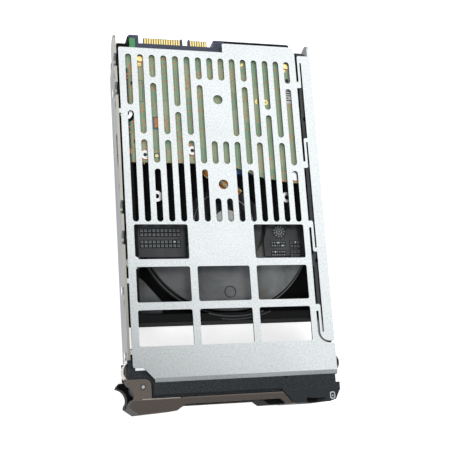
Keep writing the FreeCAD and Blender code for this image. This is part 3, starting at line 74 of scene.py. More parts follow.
# %% [markdown]
# ## Helpers for every node tree
# Colours are written as sRGB hex values, the way a paint chart gives them, and a shader wants
# linear light, so one function converts them.  A second function adds any node at all: it sets
# the node's properties, then feeds each input with a value or with another node's socket.  A
# Mix node lists its inputs for every kind of data: _2 and _3 are its numbers, _6 and _7 its
# colours.  Every pattern here has a real size, so a material starts with the piece's own
# coordinates in millimetres, and a noise of 1 / 24 makes clouds about 24 mm across.

# %% Helpers for node trees
def linear(hex_colour):
    """An sRGB hex value as the linear colour that a shader wants."""
    channels = [int(hex_colour[i:i + 2], 16) / 255 for i in (1, 3, 5)]
    return [c / 12.92 if c <= 0.04045 else ((c + 0.055) / 1.055) ** 2.4 for c in channels] + [1.0]


def node(tree, kind, settings=None, **inputs):
    """Adds a node with its settings; inputs are named as on the node, or _0, _1 for their order."""
    item = tree.nodes.new(kind)
    for name, setting in (settings or {}).items():
        if name == "stops":
            while len(item.color_ramp.elements) < len(setting):
                item.color_ramp.elements.new(0.5)
            for element, (position, colour) in zip(item.color_ramp.elements, setting):
                element.position = position
                element.color = linear(colour)
        else:
            setattr(item, name, setting)
    for name, feed in inputs.items():
        key = int(name[1:]) if name[0] == "_" else name.replace("_", " ")
        if isinstance(feed, bpy.types.NodeSocket):
            tree.links.new(feed, item.inputs[key])
        else:
            item.inputs[key].default_value = feed
    return item


def new_material(name):
    """A material with an empty node tree."""
    made = bpy.data.materials.new(name)
    made.use_nodes = True
    made.node_tree.nodes.clear()
    return made, made.node_tree


def piece_material(name, per_mm=(1.0, 1.0, 1.0), turn_z=0.0):
    """A material, its tree and the piece's own coordinates, counted in millimetres."""
    made, tree = new_material(name)
    own = node(tree, "ShaderNodeTexCoord")
    place = node(tree, "ShaderNodeMapping", Vector=own.outputs["Object"], Scale=[n / MM for n in per_mm],
                 Rotation=(0.0, 0.0, turn_z))
    return made, tree, place.outputs[0]


FINISHES = {}
print("middle grey in linear light", round(linear("#808080")[0], 3))

# %% [markdown]
# ## Studio floor
# The floor is a plain paper sweep.  It is white to the eye and in reflections, which Light
# Path can tell apart, but returns only a moderate light to the object's underside, so that
# upright faces stay darker than the top.

# %% Studio floor
floor_finish, tree = new_material("paper_sweep")
path = node(tree, "ShaderNodeLightPath")
seen = node(tree, "ShaderNodeMath", {"operation": "MAXIMUM"}, _0=path.outputs["Is Camera Ray"],
            _1=path.outputs["Is Glossy Ray"])
bounce = node(tree, "ShaderNodeBsdfDiffuse", Color=linear("#949494"))
paper = node(tree, "ShaderNodeBsdfDiffuse", Color=linear("#F0F0F0"))
glow = node(tree, "ShaderNodeEmission", Color=linear("#FFFFFF"), Strength=0.70)
lit = node(tree, "ShaderNodeAddShader", _0=paper.outputs[0], _1=glow.outputs[0])
either = node(tree, "ShaderNodeMixShader", _0=seen.outputs[0], _1=bounce.outputs[0], _2=lit.outputs[0])
node(tree, "ShaderNodeOutputMaterial", Surface=either.outputs[0])
bpy.ops.mesh.primitive_plane_add(size=8.0, location=(0, 0, -0.2 * MM))
floor = bpy.context.object
floor.name = "studio_floor"
floor.data.materials.append(floor_finish)
print("floor side in m", round(floor.dimensions.x, 1))

# %% [markdown]
# ## World
# The world is bright all round and dim overhead, like a room with pale walls and a dark
# ceiling, so that the lamps alone shape what the flat sheet mirrors from above.  What the
# camera sees directly, and through clear plastic, is plain white.

# %% World
world = bpy.data.worlds.new("studio_world")
bpy.context.scene.world = world
world.use_nodes = True
tree = world.node_tree
tree.nodes.clear()
path = node(tree, "ShaderNodeLightPath")
seen = node(tree, "ShaderNodeMath", {"operation": "MAXIMUM"}, _0=path.outputs["Is Camera Ray"],
            _1=path.outputs["Is Transmission Ray"])
direction = node(tree, "ShaderNodeTexCoord")
height = node(tree, "ShaderNodeSeparateXYZ", Vector=direction.outputs["Generated"])
fall = node(tree, "ShaderNodeMapRange", Value=height.outputs["Z"], From_Min=0.3, From_Max=0.85,
            To_Min=0.66, To_Max=0.22)
room = node(tree, "ShaderNodeBackground", Color=linear("#F4F6F8"), Strength=fall.outputs[0])
white = node(tree, "ShaderNodeBackground", Color=linear("#FFFFFF"), Strength=1.0)
both = node(tree, "ShaderNodeMixShader", _0=seen.outputs[0], _1=room.outputs[0], _2=white.outputs[0])
node(tree, "ShaderNodeOutputWorld", Surface=both.outputs[0])
bpy.context.scene.view_settings.view_transform = "Standard"
print("world nodes", len(tree.nodes))

# %% [markdown]
# ## Lamps
# One wide panel hangs behind and above the object.  Seen from the camera, the rear of the
# sheet mirrors it and the front does not, and this draws the soft fall from bright to grey
# along the metal.  It is rolled, so that its shadow line crosses the sheet's front left corner.
# Two small panels, on the right and beside the camera, lift the plastics and the board at the
# bottom of the slots without being mirrored in the sheet.

# %% Lamps
def panel(name, place, target, size, power, roll=0.0):
    """A square area light of some watts, facing a target and rolled; lengths in millimetres."""
    data = bpy.data.lights.new(name, "AREA")
    data.size = size * MM
    data.energy = power
    lamp = bpy.data.objects.new(name, data)
    bpy.context.scene.collection.objects.link(lamp)
    lamp.location = Vector(place) * MM
    facing = (Vector(target) - Vector(place)).to_track_quat("-Z", "Y").to_matrix()
    lamp.rotation_euler = (facing @ Matrix.Rotation(math.radians(roll), 3, "Z")).to_euler()


panel("overhead_panel", (425, 508, 950), (425, 508, 0), size=1050, power=4.5, roll=-35.0)
panel("right_panel", (850, -60, 560), (0, 0, 10), size=420, power=1.2)
panel("camera_panel", (-420, -300, 800), (0, 0, 20), size=300, power=2.4)
print("lamps", len(bpy.data.lights))

# %% [markdown]
# ## Galvanised sheet
# The tray is thin steel dipped in zinc before it is stamped and folded.  The zinc leaves a
# fine, frosty grain, a little lighter and darker from crystal to crystal.  Stamping shears
# through it, and the cut edges of every slot and window are drawn near black: partly the bare
# steel, partly painted shade of the slot walls.  The outsides of the walls, which face
# sideways, are drawn darker as painted shade.  The edges are told from the faces by their
# normal: on the flat field between the folds, a face that looks sideways can only be a cut.
# An image of the metal would need a layout for every fold, where a pattern in the solid runs
# over all of them.

# %% Galvanised sheet
# half the width of the flat field between the folds, in millimetres
FIELD_HALF = 51.0


def galvanised_steel():
    """Zinc-coated sheet: frosty on its faces, near black on its cut edges, partly bare steel and partly
    painted shade, and darker on its walls' outsides as painted shade.
    """
    made, tree, where = piece_material("galvanised_steel")
    # zinc crystals about half a millimetre across, drawn at 0.9 mm so that they show
    crystal = node(tree, "ShaderNodeTexNoise", Vector=where, Scale=1 / 0.9, Detail=3.0, Roughness=0.7)
    cloud = node(tree, "ShaderNodeTexNoise", Vector=where, Scale=1 / 28, Detail=2.0)
    zinc = node(tree, "ShaderNodeValToRGB",
                {"stops": ((0.30, "#C8CFD1"), (0.48, "#D8DDDE"), (0.70, "#E6E9E9"))},
                Fac=crystal.outputs[0])
    soft = node(tree, "ShaderNodeMapRange", Value=cloud.outputs[0], From_Min=0.3, From_Max=0.7,
                To_Min=0.27, To_Max=0.34)
    facing = node(tree, "ShaderNodeNewGeometry")
    normal = node(tree, "ShaderNodeSeparateXYZ", Vector=facing.outputs["True Normal"])
    across = node(tree, "ShaderNodeSeparateXYZ", Vector=where)
    # a sheared edge: it looks sideways and lies on the flat field; it is drawn near black, partly bare
    # steel and partly painted shade
    upright = node(tree, "ShaderNodeMath", {"operation": "ABSOLUTE"}, _0=normal.outputs["Z"])
    sheared = node(tree, "ShaderNodeMath", {"operation": "LESS_THAN"}, _0=upright.outputs[0], _1=0.6)
    from_middle = node(tree, "ShaderNodeMath", {"operation": "ABSOLUTE"}, _0=across.outputs["X"])
    inside = node(tree, "ShaderNodeMath", {"operation": "LESS_THAN"}, _0=from_middle.outputs[0],
                  _1=FIELD_HALF)
    bare = node(tree, "ShaderNodeMath", {"operation": "MULTIPLY"}, _0=sheared.outputs[0],
                _1=inside.outputs[0])
    # painted shade: the outsides of the walls, which face sideways, are drawn darker
    sideways = node(tree, "ShaderNodeMath", {"operation": "ABSOLUTE"}, _0=normal.outputs["X"])
    side_shade = node(tree, "ShaderNodeMath", {"operation": "GREATER_THAN"}, _0=sideways.outputs[0], _1=0.8)
    side_shaded = node(tree, "ShaderNodeMix", {"data_type": "RGBA"}, _0=side_shade.outputs[0], _6=zinc.outputs[0],
                _7=linear("#696B6F"))
    # the left wall ends in a sheared edge that has weathered to a cream grey
    on_top = node(tree, "ShaderNodeMath", {"operation": "GREATER_THAN"}, _0=normal.outputs["Z"], _1=0.6)
    leftmost = node(tree, "ShaderNodeMath", {"operation": "LESS_THAN"}, _0=across.outputs["X"],
                    _1=-FIELD_HALF)
    rim = node(tree, "ShaderNodeMath", {"operation": "MULTIPLY"}, _0=on_top.outputs[0],
               _1=leftmost.outputs[0])
    rimmed = node(tree, "ShaderNodeMix", {"data_type": "RGBA"}, _0=rim.outputs[0], _6=side_shaded.outputs[2],
                  _7=linear("#B4B2A8"))
    colour = node(tree, "ShaderNodeMix", {"data_type": "RGBA"}, _0=bare.outputs[0], _6=rimmed.outputs[2],
                  _7=linear("#2B2E30"))
    rough = node(tree, "ShaderNodeMix", _0=bare.outputs[0], _2=soft.outputs[0], _3=0.6)
    bump = node(tree, "ShaderNodeBump", Height=crystal.outputs[0], Strength=0.12, Distance=0.05 * MM)
    shader = node(tree, "ShaderNodeBsdfPrincipled", Base_Color=colour.outputs[2], Metallic=0.8,
                  Roughness=rough.outputs[0], Normal=bump.outputs[0])
    node(tree, "ShaderNodeOutputMaterial", Surface=shader.outputs[0])
    return made


FINISHES["galvanised_steel"] = galvanised_steel()
print("galvanised sheet nodes", len(FINISHES["galvanised_steel"].node_tree.nodes))

# %% [markdown]
# ## Moulded plastics
# The bezel is ABS from a spark-eroded mould, which leaves a fine even grain; the end cap and
# the handle come from smoother moulds, and the socket is glass-filled nylon.  A slow noise
# varies the gloss as handling does, and a Bevel node rounds the normals over the real edge
# radius, so that every edge catches a thin line of light.  The edges are also drawn paler,
# partly scuffing and partly painted highlight, and the handle's faces that look forwards get
# painted shade.  One function serves them all, because they differ only in colour, gloss and
# grain.

# %% Moulded plastics
def moulded_plastic(name, dark, light, pale_tone, roughness, grain_mm, depth, specular, edge_mm=0.35,
                    front_shade=None):
    """A moulded plastic; the last colour, if given, is painted shade on steep faces that look forwards and
    on the nose that leans forwards.
    """
    made, tree, where = piece_material(name)
    grain = node(tree, "ShaderNodeTexNoise", Vector=where, Scale=1 / grain_mm, Detail=2.0, Roughness=0.6)
    cloud = node(tree, "ShaderNodeTexNoise", Vector=where, Scale=1 / 24, Detail=3.0)
    moulded = node(tree, "ShaderNodeValToRGB", {"stops": ((0.34, dark), (0.70, light))},
                   Fac=grain.outputs[0])
    bump = node(tree, "ShaderNodeBump", Height=grain.outputs[0], Strength=depth, Distance=0.12 * MM)
    rounded = node(tree, "ShaderNodeBevel", {"samples": 4}, Radius=edge_mm * MM, Normal=bump.outputs[0])
    facing = node(tree, "ShaderNodeNewGeometry")
    same = node(tree, "ShaderNodeVectorMath", {"operation": "DOT_PRODUCT"}, _0=rounded.outputs[0],
                _1=facing.outputs["True Normal"])
    # the edges are drawn paler, partly scuffing and partly painted highlight
    edge_scuff_and_highlight = node(tree, "ShaderNodeMapRange", Value=same.outputs["Value"], From_Min=0.97, From_Max=0.80,
                To_Min=0.0, To_Max=0.8)
    colour = node(tree, "ShaderNodeMix", {"data_type": "RGBA"}, _0=edge_scuff_and_highlight.outputs[0], _6=moulded.outputs[0],
                  _7=linear(pale_tone))
    if front_shade:
        # painted shade: steep faces that look forwards take the darker colour
        normal = node(tree, "ShaderNodeSeparateXYZ", Vector=facing.outputs["True Normal"])
        steep = node(tree, "ShaderNodeMath", {"operation": "LESS_THAN"}, _0=normal.outputs["Z"], _1=0.9)
        frontal = node(tree, "ShaderNodeMath", {"operation": "ADD"}, _0=normal.outputs["X"],
                       _1=normal.outputs["Y"])
        looking = node(tree, "ShaderNodeMath", {"operation": "LESS_THAN"}, _0=frontal.outputs[0], _1=-0.3)
        front_shade_mask = node(tree, "ShaderNodeMath", {"operation": "MULTIPLY"}, _0=steep.outputs[0],
                     _1=looking.outputs[0])
        # painted shade: the handle's nose leans forwards by a few degrees and is drawn darker there
        nose_shade = node(tree, "ShaderNodeMapRange", Value=normal.outputs["Y"], From_Min=-0.05,
                       From_Max=-0.15, To_Min=0.0, To_Max=0.42)
        dimmed = node(tree, "ShaderNodeMix", {"data_type": "RGBA"}, _0=nose_shade.outputs[0],
                      _6=colour.outputs[2], _7=linear(front_shade))
        colour = node(tree, "ShaderNodeMix", {"data_type": "RGBA"}, _0=front_shade_mask.outputs[0],
                      _6=dimmed.outputs[2], _7=linear(front_shade))
    rough = node(tree, "ShaderNodeMapRange", Value=cloud.outputs[0], From_Min=0.3, From_Max=0.7,
                 To_Min=roughness - 0.05, To_Max=roughness + 0.07)
    shader = node(tree, "ShaderNodeBsdfPrincipled", Base_Color=colour.outputs[2], IOR=1.54,
                  Roughness=rough.outputs[0], Specular_IOR_Level=specular, Normal=rounded.outputs[0])
    node(tree, "ShaderNodeOutputMaterial", Surface=shader.outputs[0])
    return made


# the grain of the moulds is about 0.2 mm, drawn at 0.5 or 0.6 mm so that it shows
# material name, dark and light grain, pale edge (partly scuffing, partly painted highlight),
# roughness, grain size, grain depth, specular level and, where they differ, edge radius and the
# colour of painted shade on the faces that look forwards
PLASTICS = {
    "bezel_abs": ("spark_eroded_abs", "#1A1D20", "#3C4246", "#50565B", 0.6, 0.6, 0.6, 0.22),
    "cap_abs": ("satin_abs", "#25292D", "#2E3338", "#4C5258", 0.5, 0.5, 0.12, 0.22),
    "taupe_abs": ("taupe_abs", "#645C56", "#716862", "#A79C93", 0.6, 0.6, 0.14, 0.15, 0.35, "#3A3531"),
    "pale_taupe": ("pale_taupe", "#B8ACA3", "#C6BAB0", "#D2C8C0", 0.5, 0.6, 0.1, 0.2),
    "black_abs": ("black_abs", "#08090A", "#0F1011", "#26282A", 0.65, 0.6, 0.12, 0.1),
    "socket": ("filled_nylon", "#3B4054", "#545A6E", "#6B7186", 0.5, 0.5, 0.1, 0.4, 0.2),
}
for key, values in PLASTICS.items():
    FINISHES[key] = moulded_plastic(*values)
print("plastics", ", ".join(PLASTICS))

# %% [markdown]
# ## Electrocoated casting
# The drive's body is die-cast aluminium under a black dipped coat: near black, softly glossy
# where the die was polished and matt on the upright drafts.  The floor of the bowl is paler
# towards the right.  Behind the windows, at the front and by the left rail the coat is drawn
# near black as painted shade, and in the deep pockets it darkens further as painted shade.
# The bosses are faced off after coating, which leaves rings of bare metal, found here by their
# distance from each screw axis.  Every region is a soft ramp along one axis, or away from the
# spindle, in millimetres, so its limits can be read off a drawing.

# %% Electrocoated casting
# X and Y of the spindle, and X, Y and radius of each ring that is faced off
SPINDLE = (1.5, -2.0)
FACED_RINGS = ((-47.62, -22.48, 3.4), (-47.62, 53.72, 3.2), (-34.0, 11.4, 2.9), (34.0, 11.4, 2.9))


def coated_casting(faced):
    """Black dipped aluminium; faced holds X, Y and radius of each machined ring in millimetres."""
    made, tree, where = piece_material("electrocoated_casting")
    axes = node(tree, "ShaderNodeSeparateXYZ", Vector=where)
    facing = node(tree, "ShaderNodeNewGeometry")
    normal = node(tree, "ShaderNodeSeparateXYZ", Vector=facing.outputs["True Normal"])
    orange_peel = node(tree, "ShaderNodeTexNoise", Vector=where, Scale=1 / 1.1, Detail=3.0)
    cloud = node(tree, "ShaderNodeTexNoise", Vector=where, Scale=1 / 16, Detail=3.0, Distortion=0.6)
    coat = node(tree, "ShaderNodeValToRGB",
                {"stops": ((0.36, "#24272A"), (0.5, "#303337"), (0.66, "#3F4042"))}, Fac=cloud.outputs[0])
    pale_tone = node(tree, "ShaderNodeValToRGB",
                {"stops": ((0.36, "#5A5650"), (0.5, "#6C7072"), (0.66, "#808282"))}, Fac=cloud.outputs[0])
    # the bowl's floor, its front and how far to the right
    bowl_high = node(tree, "ShaderNodeMapRange", Value=axes.outputs["Z"], From_Min=20.7, From_Max=21.0,
                     To_Min=1.0, To_Max=0.0)
    bowl_front = node(tree, "ShaderNodeMapRange", Value=axes.outputs["Y"], From_Min=-4.0, From_Max=-14.0)
    bowl_right = node(tree, "ShaderNodeMapRange", Value=axes.outputs["X"], From_Min=-34.0, From_Max=24.0,
                      To_Min=0.35, To_Max=1.0)
    bowl = node(tree, "ShaderNodeMath", {"operation": "MULTIPLY"}, _0=bowl_high.outputs[0],
                _1=bowl_front.outputs[0])
    paler_floor = node(tree, "ShaderNodeMath", {"operation": "MULTIPLY"}, _0=bowl.outputs[0],
                _1=bowl_right.outputs[0])
    floors = node(tree, "ShaderNodeMix", {"data_type": "RGBA"}, _0=paler_floor.outputs[0], _6=coat.outputs[0],
                  _7=pale_tone.outputs[0])
    # painted shade: near black behind the windows but not round the motor, at the front and by the left
    # rail
    behind = node(tree, "ShaderNodeMapRange", Value=axes.outputs["Y"], From_Min=-3.0, From_Max=0.0)
    before = node(tree, "ShaderNodeMapRange", Value=axes.outputs["Y"], From_Min=-46.2, From_Max=-46.8)
    beside = node(tree, "ShaderNodeMapRange", Value=axes.outputs["X"], From_Min=-44.5, From_Max=-45.5)
    not_right = node(tree, "ShaderNodeMath", {"operation": "LESS_THAN"}, _0=axes.outputs["X"], _1=45.0)
    ends = node(tree, "ShaderNodeMath", {"operation": "MAXIMUM"}, _0=behind.outputs[0],
                _1=before.outputs[0])
    inner = node(tree, "ShaderNodeMath", {"operation": "MULTIPLY"}, _0=ends.outputs[0],
                 _1=not_right.outputs[0])
    flat = node(tree, "ShaderNodeCombineXYZ", X=axes.outputs["X"], Y=axes.outputs["Y"], Z=0.0)
    motor = node(tree, "ShaderNodeVectorMath", {"operation": "DISTANCE"}, _0=flat.outputs[0],
                 _1=(*SPINDLE, 0.0))
    off_motor = node(tree, "ShaderNodeMapRange", Value=motor.outputs["Value"], From_Min=19.0,
                     From_Max=21.0)
    rear = node(tree, "ShaderNodeMath", {"operation": "MULTIPLY"}, _0=inner.outputs[0],
                _1=off_motor.outputs[0])
    end_shade = node(tree, "ShaderNodeMath", {"operation": "MAXIMUM"}, _0=rear.outputs[0],
                 _1=beside.outputs[0])
    # painted shade: these regions are mixed to near black
    dipped = node(tree, "ShaderNodeMix", {"data_type": "RGBA"}, _0=end_shade.outputs[0],
                  _6=floors.outputs[2], _7=linear("#0B0C0D"))
    # painted shade: the coat darkens to near black with depth
    deep = node(tree, "ShaderNodeMapRange", Value=axes.outputs["Z"], From_Min=15.0, From_Max=20.0,
                To_Min=1.0, To_Max=0.0)
    shaded = node(tree, "ShaderNodeMix", {"data_type": "RGBA"}, _0=deep.outputs[0],
                  _6=dipped.outputs[2], _7=linear("#040405"))
    # matt on the drafts, in the depths and where the shade is painted
    draft = node(tree, "ShaderNodeMapRange", Value=normal.outputs["Z"], From_Min=0.3, From_Max=0.8,
                 To_Min=1.0, To_Max=0.3)
    depths = node(tree, "ShaderNodeMath", {"operation": "MAXIMUM"}, _0=draft.outputs[0],
                  _1=deep.outputs[0])
    matt = node(tree, "ShaderNodeMath", {"operation": "MAXIMUM"}, _0=depths.outputs[0],
                _1=end_shade.outputs[0])
    # the bare rings lie on the bosses' upward tops
    rings = None
    for x, y, radius in faced:
        away = node(tree, "ShaderNodeVectorMath", {"operation": "DISTANCE"}, _0=flat.outputs[0],
                    _1=(x, y, 0.0))
        here = node(tree, "ShaderNodeMath", {"operation": "LESS_THAN"}, _0=away.outputs["Value"],
                    _1=radius)
        rings = here if rings is None else node(tree, "ShaderNodeMath", {"operation": "MAXIMUM"},
                                                _0=rings.outputs[0], _1=here.outputs[0])
    up = node(tree, "ShaderNodeMath", {"operation": "GREATER_THAN"}, _0=normal.outputs["Z"], _1=0.9)
    high = node(tree, "ShaderNodeMath", {"operation": "GREATER_THAN"}, _0=axes.outputs["Z"], _1=24.3)
    top = node(tree, "ShaderNodeMath", {"operation": "MULTIPLY"}, _0=up.outputs[0], _1=high.outputs[0])
    bare = node(tree, "ShaderNodeMath", {"operation": "MULTIPLY"}, _0=rings.outputs[0], _1=top.outputs[0])
    colour = node(tree, "ShaderNodeMix", {"data_type": "RGBA"}, _0=bare.outputs[0],
                  _6=shaded.outputs[2], _7=linear("#F4F5F6"))
    rough = node(tree, "ShaderNodeMix", _0=bare.outputs[0], _2=matt.outputs[0], _3=0.4)
    bump = node(tree, "ShaderNodeBump", Height=orange_peel.outputs[0], Strength=0.2, Distance=0.1 * MM)
    shader = node(tree, "ShaderNodeBsdfPrincipled", Base_Color=colour.outputs[2], IOR=1.5,
                  Metallic=bare.outputs[0], Roughness=rough.outputs[0], Specular_IOR_Level=0.4,
                  Normal=bump.outputs[0])
    node(tree, "ShaderNodeOutputMaterial", Surface=shader.outputs[0])
    return made


FINISHES["casting"] = coated_casting(FACED_RINGS)
print("casting nodes", len(FINISHES["casting"].node_tree.nodes), "faced rings", len(FACED_RINGS))

# %% [markdown]
# ## Bare and plated metals
# Screws and pins are zinc plated, the springs are bright strip, the cover is brushed
# aluminium and the contacts carry a flash of gold.  All are metals at the default IOR; they
# differ in colour, in gloss and in the direction of their finest lines.  A noise stretched
# along one axis draws such lines, where a scratched image would show its repeats.

# %% Bare and plated metals
def bare_metal(name, dark, light, roughness, lines_per_mm=(3.0, 0.15, 3.0)):
    """A metal with fine lines, which run along the axis that has the fewest of them."""
    made, tree, where = piece_material(name, lines_per_mm)
    lines = node(tree, "ShaderNodeTexNoise", Vector=where, Scale=1.0, Detail=4.0)
    colour = node(tree, "ShaderNodeValToRGB", {"stops": ((0.3, dark), (0.7, light))}, Fac=lines.outputs[0])
    rough = node(tree, "ShaderNodeMapRange", Value=lines.outputs[0], From_Min=0.3, From_Max=0.7,
                 To_Min=roughness - 0.05, To_Max=roughness + 0.06)
    bump = node(tree, "ShaderNodeBump", Height=lines.outputs[0], Strength=0.12, Distance=0.05 * MM)
    shader = node(tree, "ShaderNodeBsdfPrincipled", Base_Color=colour.outputs[0], Metallic=1.0,
                  Roughness=rough.outputs[0], Normal=bump.outputs[0])
    node(tree, "ShaderNodeOutputMaterial", Surface=shader.outputs[0])
    return made


# real brushing has tens of lines to a millimetre, drawn as 2 or 3 so that they show
# material name, dark and light lines, roughness and, where they differ, lines per millimetre
METALS = {
    "bright_steel": ("zinc_plated_steel", "#C9CDD0", "#F0F2F3", 0.32),
    "spring_steel": ("spring_steel", "#B7B6AE", "#DAD8CE", 0.28, (0.3, 0.3, 2.0)),
    "aluminium": ("brushed_aluminium", "#A7ABAE", "#CACDCF", 0.38, (0.08, 2.5, 2.5)),
    "motor_steel": ("turned_motor_steel", "#2B2C2E", "#4A4C4F", 0.4),
    "gold": ("gold_flash", "#E2C36C", "#FFF0B0", 0.3),
}
for key, values in METALS.items():
    FINISHES[key] = bare_metal(*values)
print("metals", ", ".join(METALS))

# %% [markdown]
# ## Circuit board
# Solder mask is a thin green lacquer over glass cloth and copper.  Over copper it looks paler
# and more olive, over bare laminate greener, and the tracks under it run straight along the
# board, so the two shades are laid out in square patches with fine lines along Y.  The sawn
# edge is darker, the strip by the left rail is drawn near black as painted shade, and the
# tongue behind the tray, which carries no copper, stays a clear green.

# %% Circuit board
def solder_mask():
    """Green lacquer over laminate, with pale patches and tracks of copper under it."""
    made, tree, where = piece_material("solder_mask")
    axes = node(tree, "ShaderNodeSeparateXYZ", Vector=where)
    pour = node(tree, "ShaderNodeTexVoronoi", {"distance": "CHEBYCHEV"}, Vector=where, Scale=1 / 9.0,
                Randomness=0.8)
    patch = node(tree, "ShaderNodeSeparateColor", Color=pour.outputs["Color"])
    # tracks 0.15 mm wide, drawn at 0.5 mm so that they show
    tracks = node(tree, "ShaderNodeTexWave", {"bands_direction": "X"}, Vector=where, Scale=0.3,
                  Distortion=0.6, Detail=1.0)
    poured = node(tree, "ShaderNodeMath", {"operation": "MULTIPLY"}, _0=patch.outputs[0], _1=0.6)
    copper = node(tree, "ShaderNodeMath", {"operation": "MULTIPLY_ADD"}, _0=tracks.outputs["Fac"], _1=0.5,
                  _2=poured.outputs[0])
    lacquer = node(tree, "ShaderNodeValToRGB",
                   {"stops": ((0.15, "#84B595"), (0.5, "#A8C19B"), (1.0, "#C8C9A2"))},
                   Fac=copper.outputs[0])
    # painted shade: the strip by the left rail, in front of the socket, is drawn near black
    rim = node(tree, "ShaderNodeMapRange", Value=axes.outputs["X"], From_Min=-46.1, From_Max=-45.0,
               To_Min=1.0, To_Max=0.0)
    before_socket = node(tree, "ShaderNodeMath", {"operation": "LESS_THAN"}, _0=axes.outputs["Y"], _1=78.0)
    side = node(tree, "ShaderNodeMath", {"operation": "MULTIPLY"}, _0=rim.outputs[0],
                _1=before_socket.outputs[0])
    facing = node(tree, "ShaderNodeNewGeometry")
    normal = node(tree, "ShaderNodeSeparateXYZ", Vector=facing.outputs["True Normal"])
    sawn = node(tree, "ShaderNodeMath", {"operation": "LESS_THAN"}, _0=normal.outputs["Z"], _1=0.5)
    tongue = node(tree, "ShaderNodeMath", {"operation": "GREATER_THAN"}, _0=axes.outputs["Y"], _1=87.5)
    cleared = node(tree, "ShaderNodeMix", {"data_type": "RGBA"}, _0=tongue.outputs[0],
                   _6=lacquer.outputs[0], _7=linear("#4CA466"))
    rail_shaded = node(tree, "ShaderNodeMix", {"data_type": "RGBA"}, _0=side.outputs[0], _6=cleared.outputs[2],
                 _7=linear("#0E1A14"))
    colour = node(tree, "ShaderNodeMix", {"data_type": "RGBA"}, _0=sawn.outputs[0], _6=rail_shaded.outputs[2],
                  _7=linear("#2C7A5C"))
    bump = node(tree, "ShaderNodeBump", Height=tracks.outputs["Fac"], Strength=0.15, Distance=0.04 * MM)
    shader = node(tree, "ShaderNodeBsdfPrincipled", Base_Color=colour.outputs[2], Roughness=0.36, IOR=1.5,
                  Normal=bump.outputs[0])
    node(tree, "ShaderNodeOutputMaterial", Surface=shader.outputs[0])
    return made


FINISHES["solder_mask"] = solder_mask()
print("solder mask nodes", len(FINISHES["solder_mask"].node_tree.nodes))

# %% [markdown]
# ## Film and light pipes
# The motor's lead is a polyimide film with gold traces, so its stripes follow its slanting
# run: the Mapping node turns the pattern and not the piece.  The two status lenses are clear
# acrylic light pipes, faintly milky inside.

# %% Film and light pipes
def polyimide_film():
    """Orange film with pale gold traces, which run along its slanting length."""
    made, tree, along = piece_material("polyimide_film", turn_z=math.radians(40))
    # traces 0.3 mm wide, drawn several times wider so that they show
    traces = node(tree, "ShaderNodeTexWave", {"bands_direction": "Y"}, Vector=along, Scale=0.09,
                  Distortion=0.3)
    colour = node(tree, "ShaderNodeValToRGB",
                  {"stops": ((0.3, "#FF9A30"), (0.6, "#FFD080"), (0.85, "#FFFFE0"))},
                  Fac=traces.outputs["Fac"])
    shader = node(tree, "ShaderNodeBsdfPrincipled", Base_Color=colour.outputs[0], Roughness=0.3, IOR=1.6)
    node(tree, "ShaderNodeOutputMaterial", Surface=shader.outputs[0])
    return made


def light_pipe():
    """Clear acrylic with a faint milky cloud."""
    made, tree, where = piece_material("light_pipe_acrylic")
    cloud = node(tree, "ShaderNodeTexNoise", Vector=where, Scale=0.8, Detail=2.0)
    colour = node(tree, "ShaderNodeValToRGB", {"stops": ((0.3, "#C9D2CE"), (0.7, "#E3EAE6"))},
                  Fac=cloud.outputs[0])
    shader = node(tree, "ShaderNodeBsdfPrincipled", Base_Color=colour.outputs[0], Roughness=0.2, IOR=1.49,
                  Transmission_Weight=0.45)
    node(tree, "ShaderNodeOutputMaterial", Surface=shader.outputs[0])
    return made


FINISHES["film"] = polyimide_film()
FINISHES["light_pipe"] = light_pipe()
print("film and light pipe", FINISHES["film"].name, FINISHES["light_pipe"].name)

# %% [markdown]
# ## Matt coats and inks
# Printing ink, paper, solder dots seen from far off, moulded chips and the casting coat's
# painted highlights and painted shade are all plain matt surfaces with a trace of mottling, so
# one recipe with two close shades of a colour makes each of them.

# %% Matt coats and inks
def matt_coat(name, dark, light, roughness=0.6):
    """A matt surface with two close shades of a colour, mottled at 0.7 mm."""
    made, tree, where = piece_material(name)
    mottle = node(tree, "ShaderNodeTexNoise", Vector=where, Scale=1 / 0.7, Detail=2.0)
    colour = node(tree, "ShaderNodeValToRGB", {"stops": ((0.35, dark), (0.65, light))},
                  Fac=mottle.outputs[0])
    shader = node(tree, "ShaderNodeBsdfPrincipled", Base_Color=colour.outputs[0], Roughness=roughness,
                  IOR=1.5)
    node(tree, "ShaderNodeOutputMaterial", Surface=shader.outputs[0])
    return made


# dark and light shade and, where it differs, roughness
MATT_COATS = {
    "tinned_copper": ("#E87A34", "#FFA462", 0.4),
    "label_paper": ("#E4E4E1", "#F6F6F4"),
    "white_ink": ("#C9CCCE", "#E4E6E7"),
    "blue_nylon": ("#1D3C63", "#2F5C8C", 0.4),
    "grey_ink": ("#56707E", "#6E8794"),
    "black_epoxy": ("#141516", "#26282A", 0.5),
    # the last three are copies of the casting's coat: paler as painted highlight, mid-tone as painted
    # highlight on ridges, near black as painted shade in recesses
    "worn_coat": ("#656B6F", "#8C9296", 0.4),
    "rim_coat": ("#222528", "#34383B", 0.5),
    "sunk_coat": ("#070808", "#0E0F10", 0.7),
}
for key, values in MATT_COATS.items():
    FINISHES[key] = matt_coat(key, *values)
print("matt coats", ", ".join(MATT_COATS))

# %% [markdown]
# ## Dressing the fixed nodes
# Each fixed node keeps its mesh and place and gets one finish, chosen by what the real piece
# is made of.  A table makes the choice easy to read and to change.

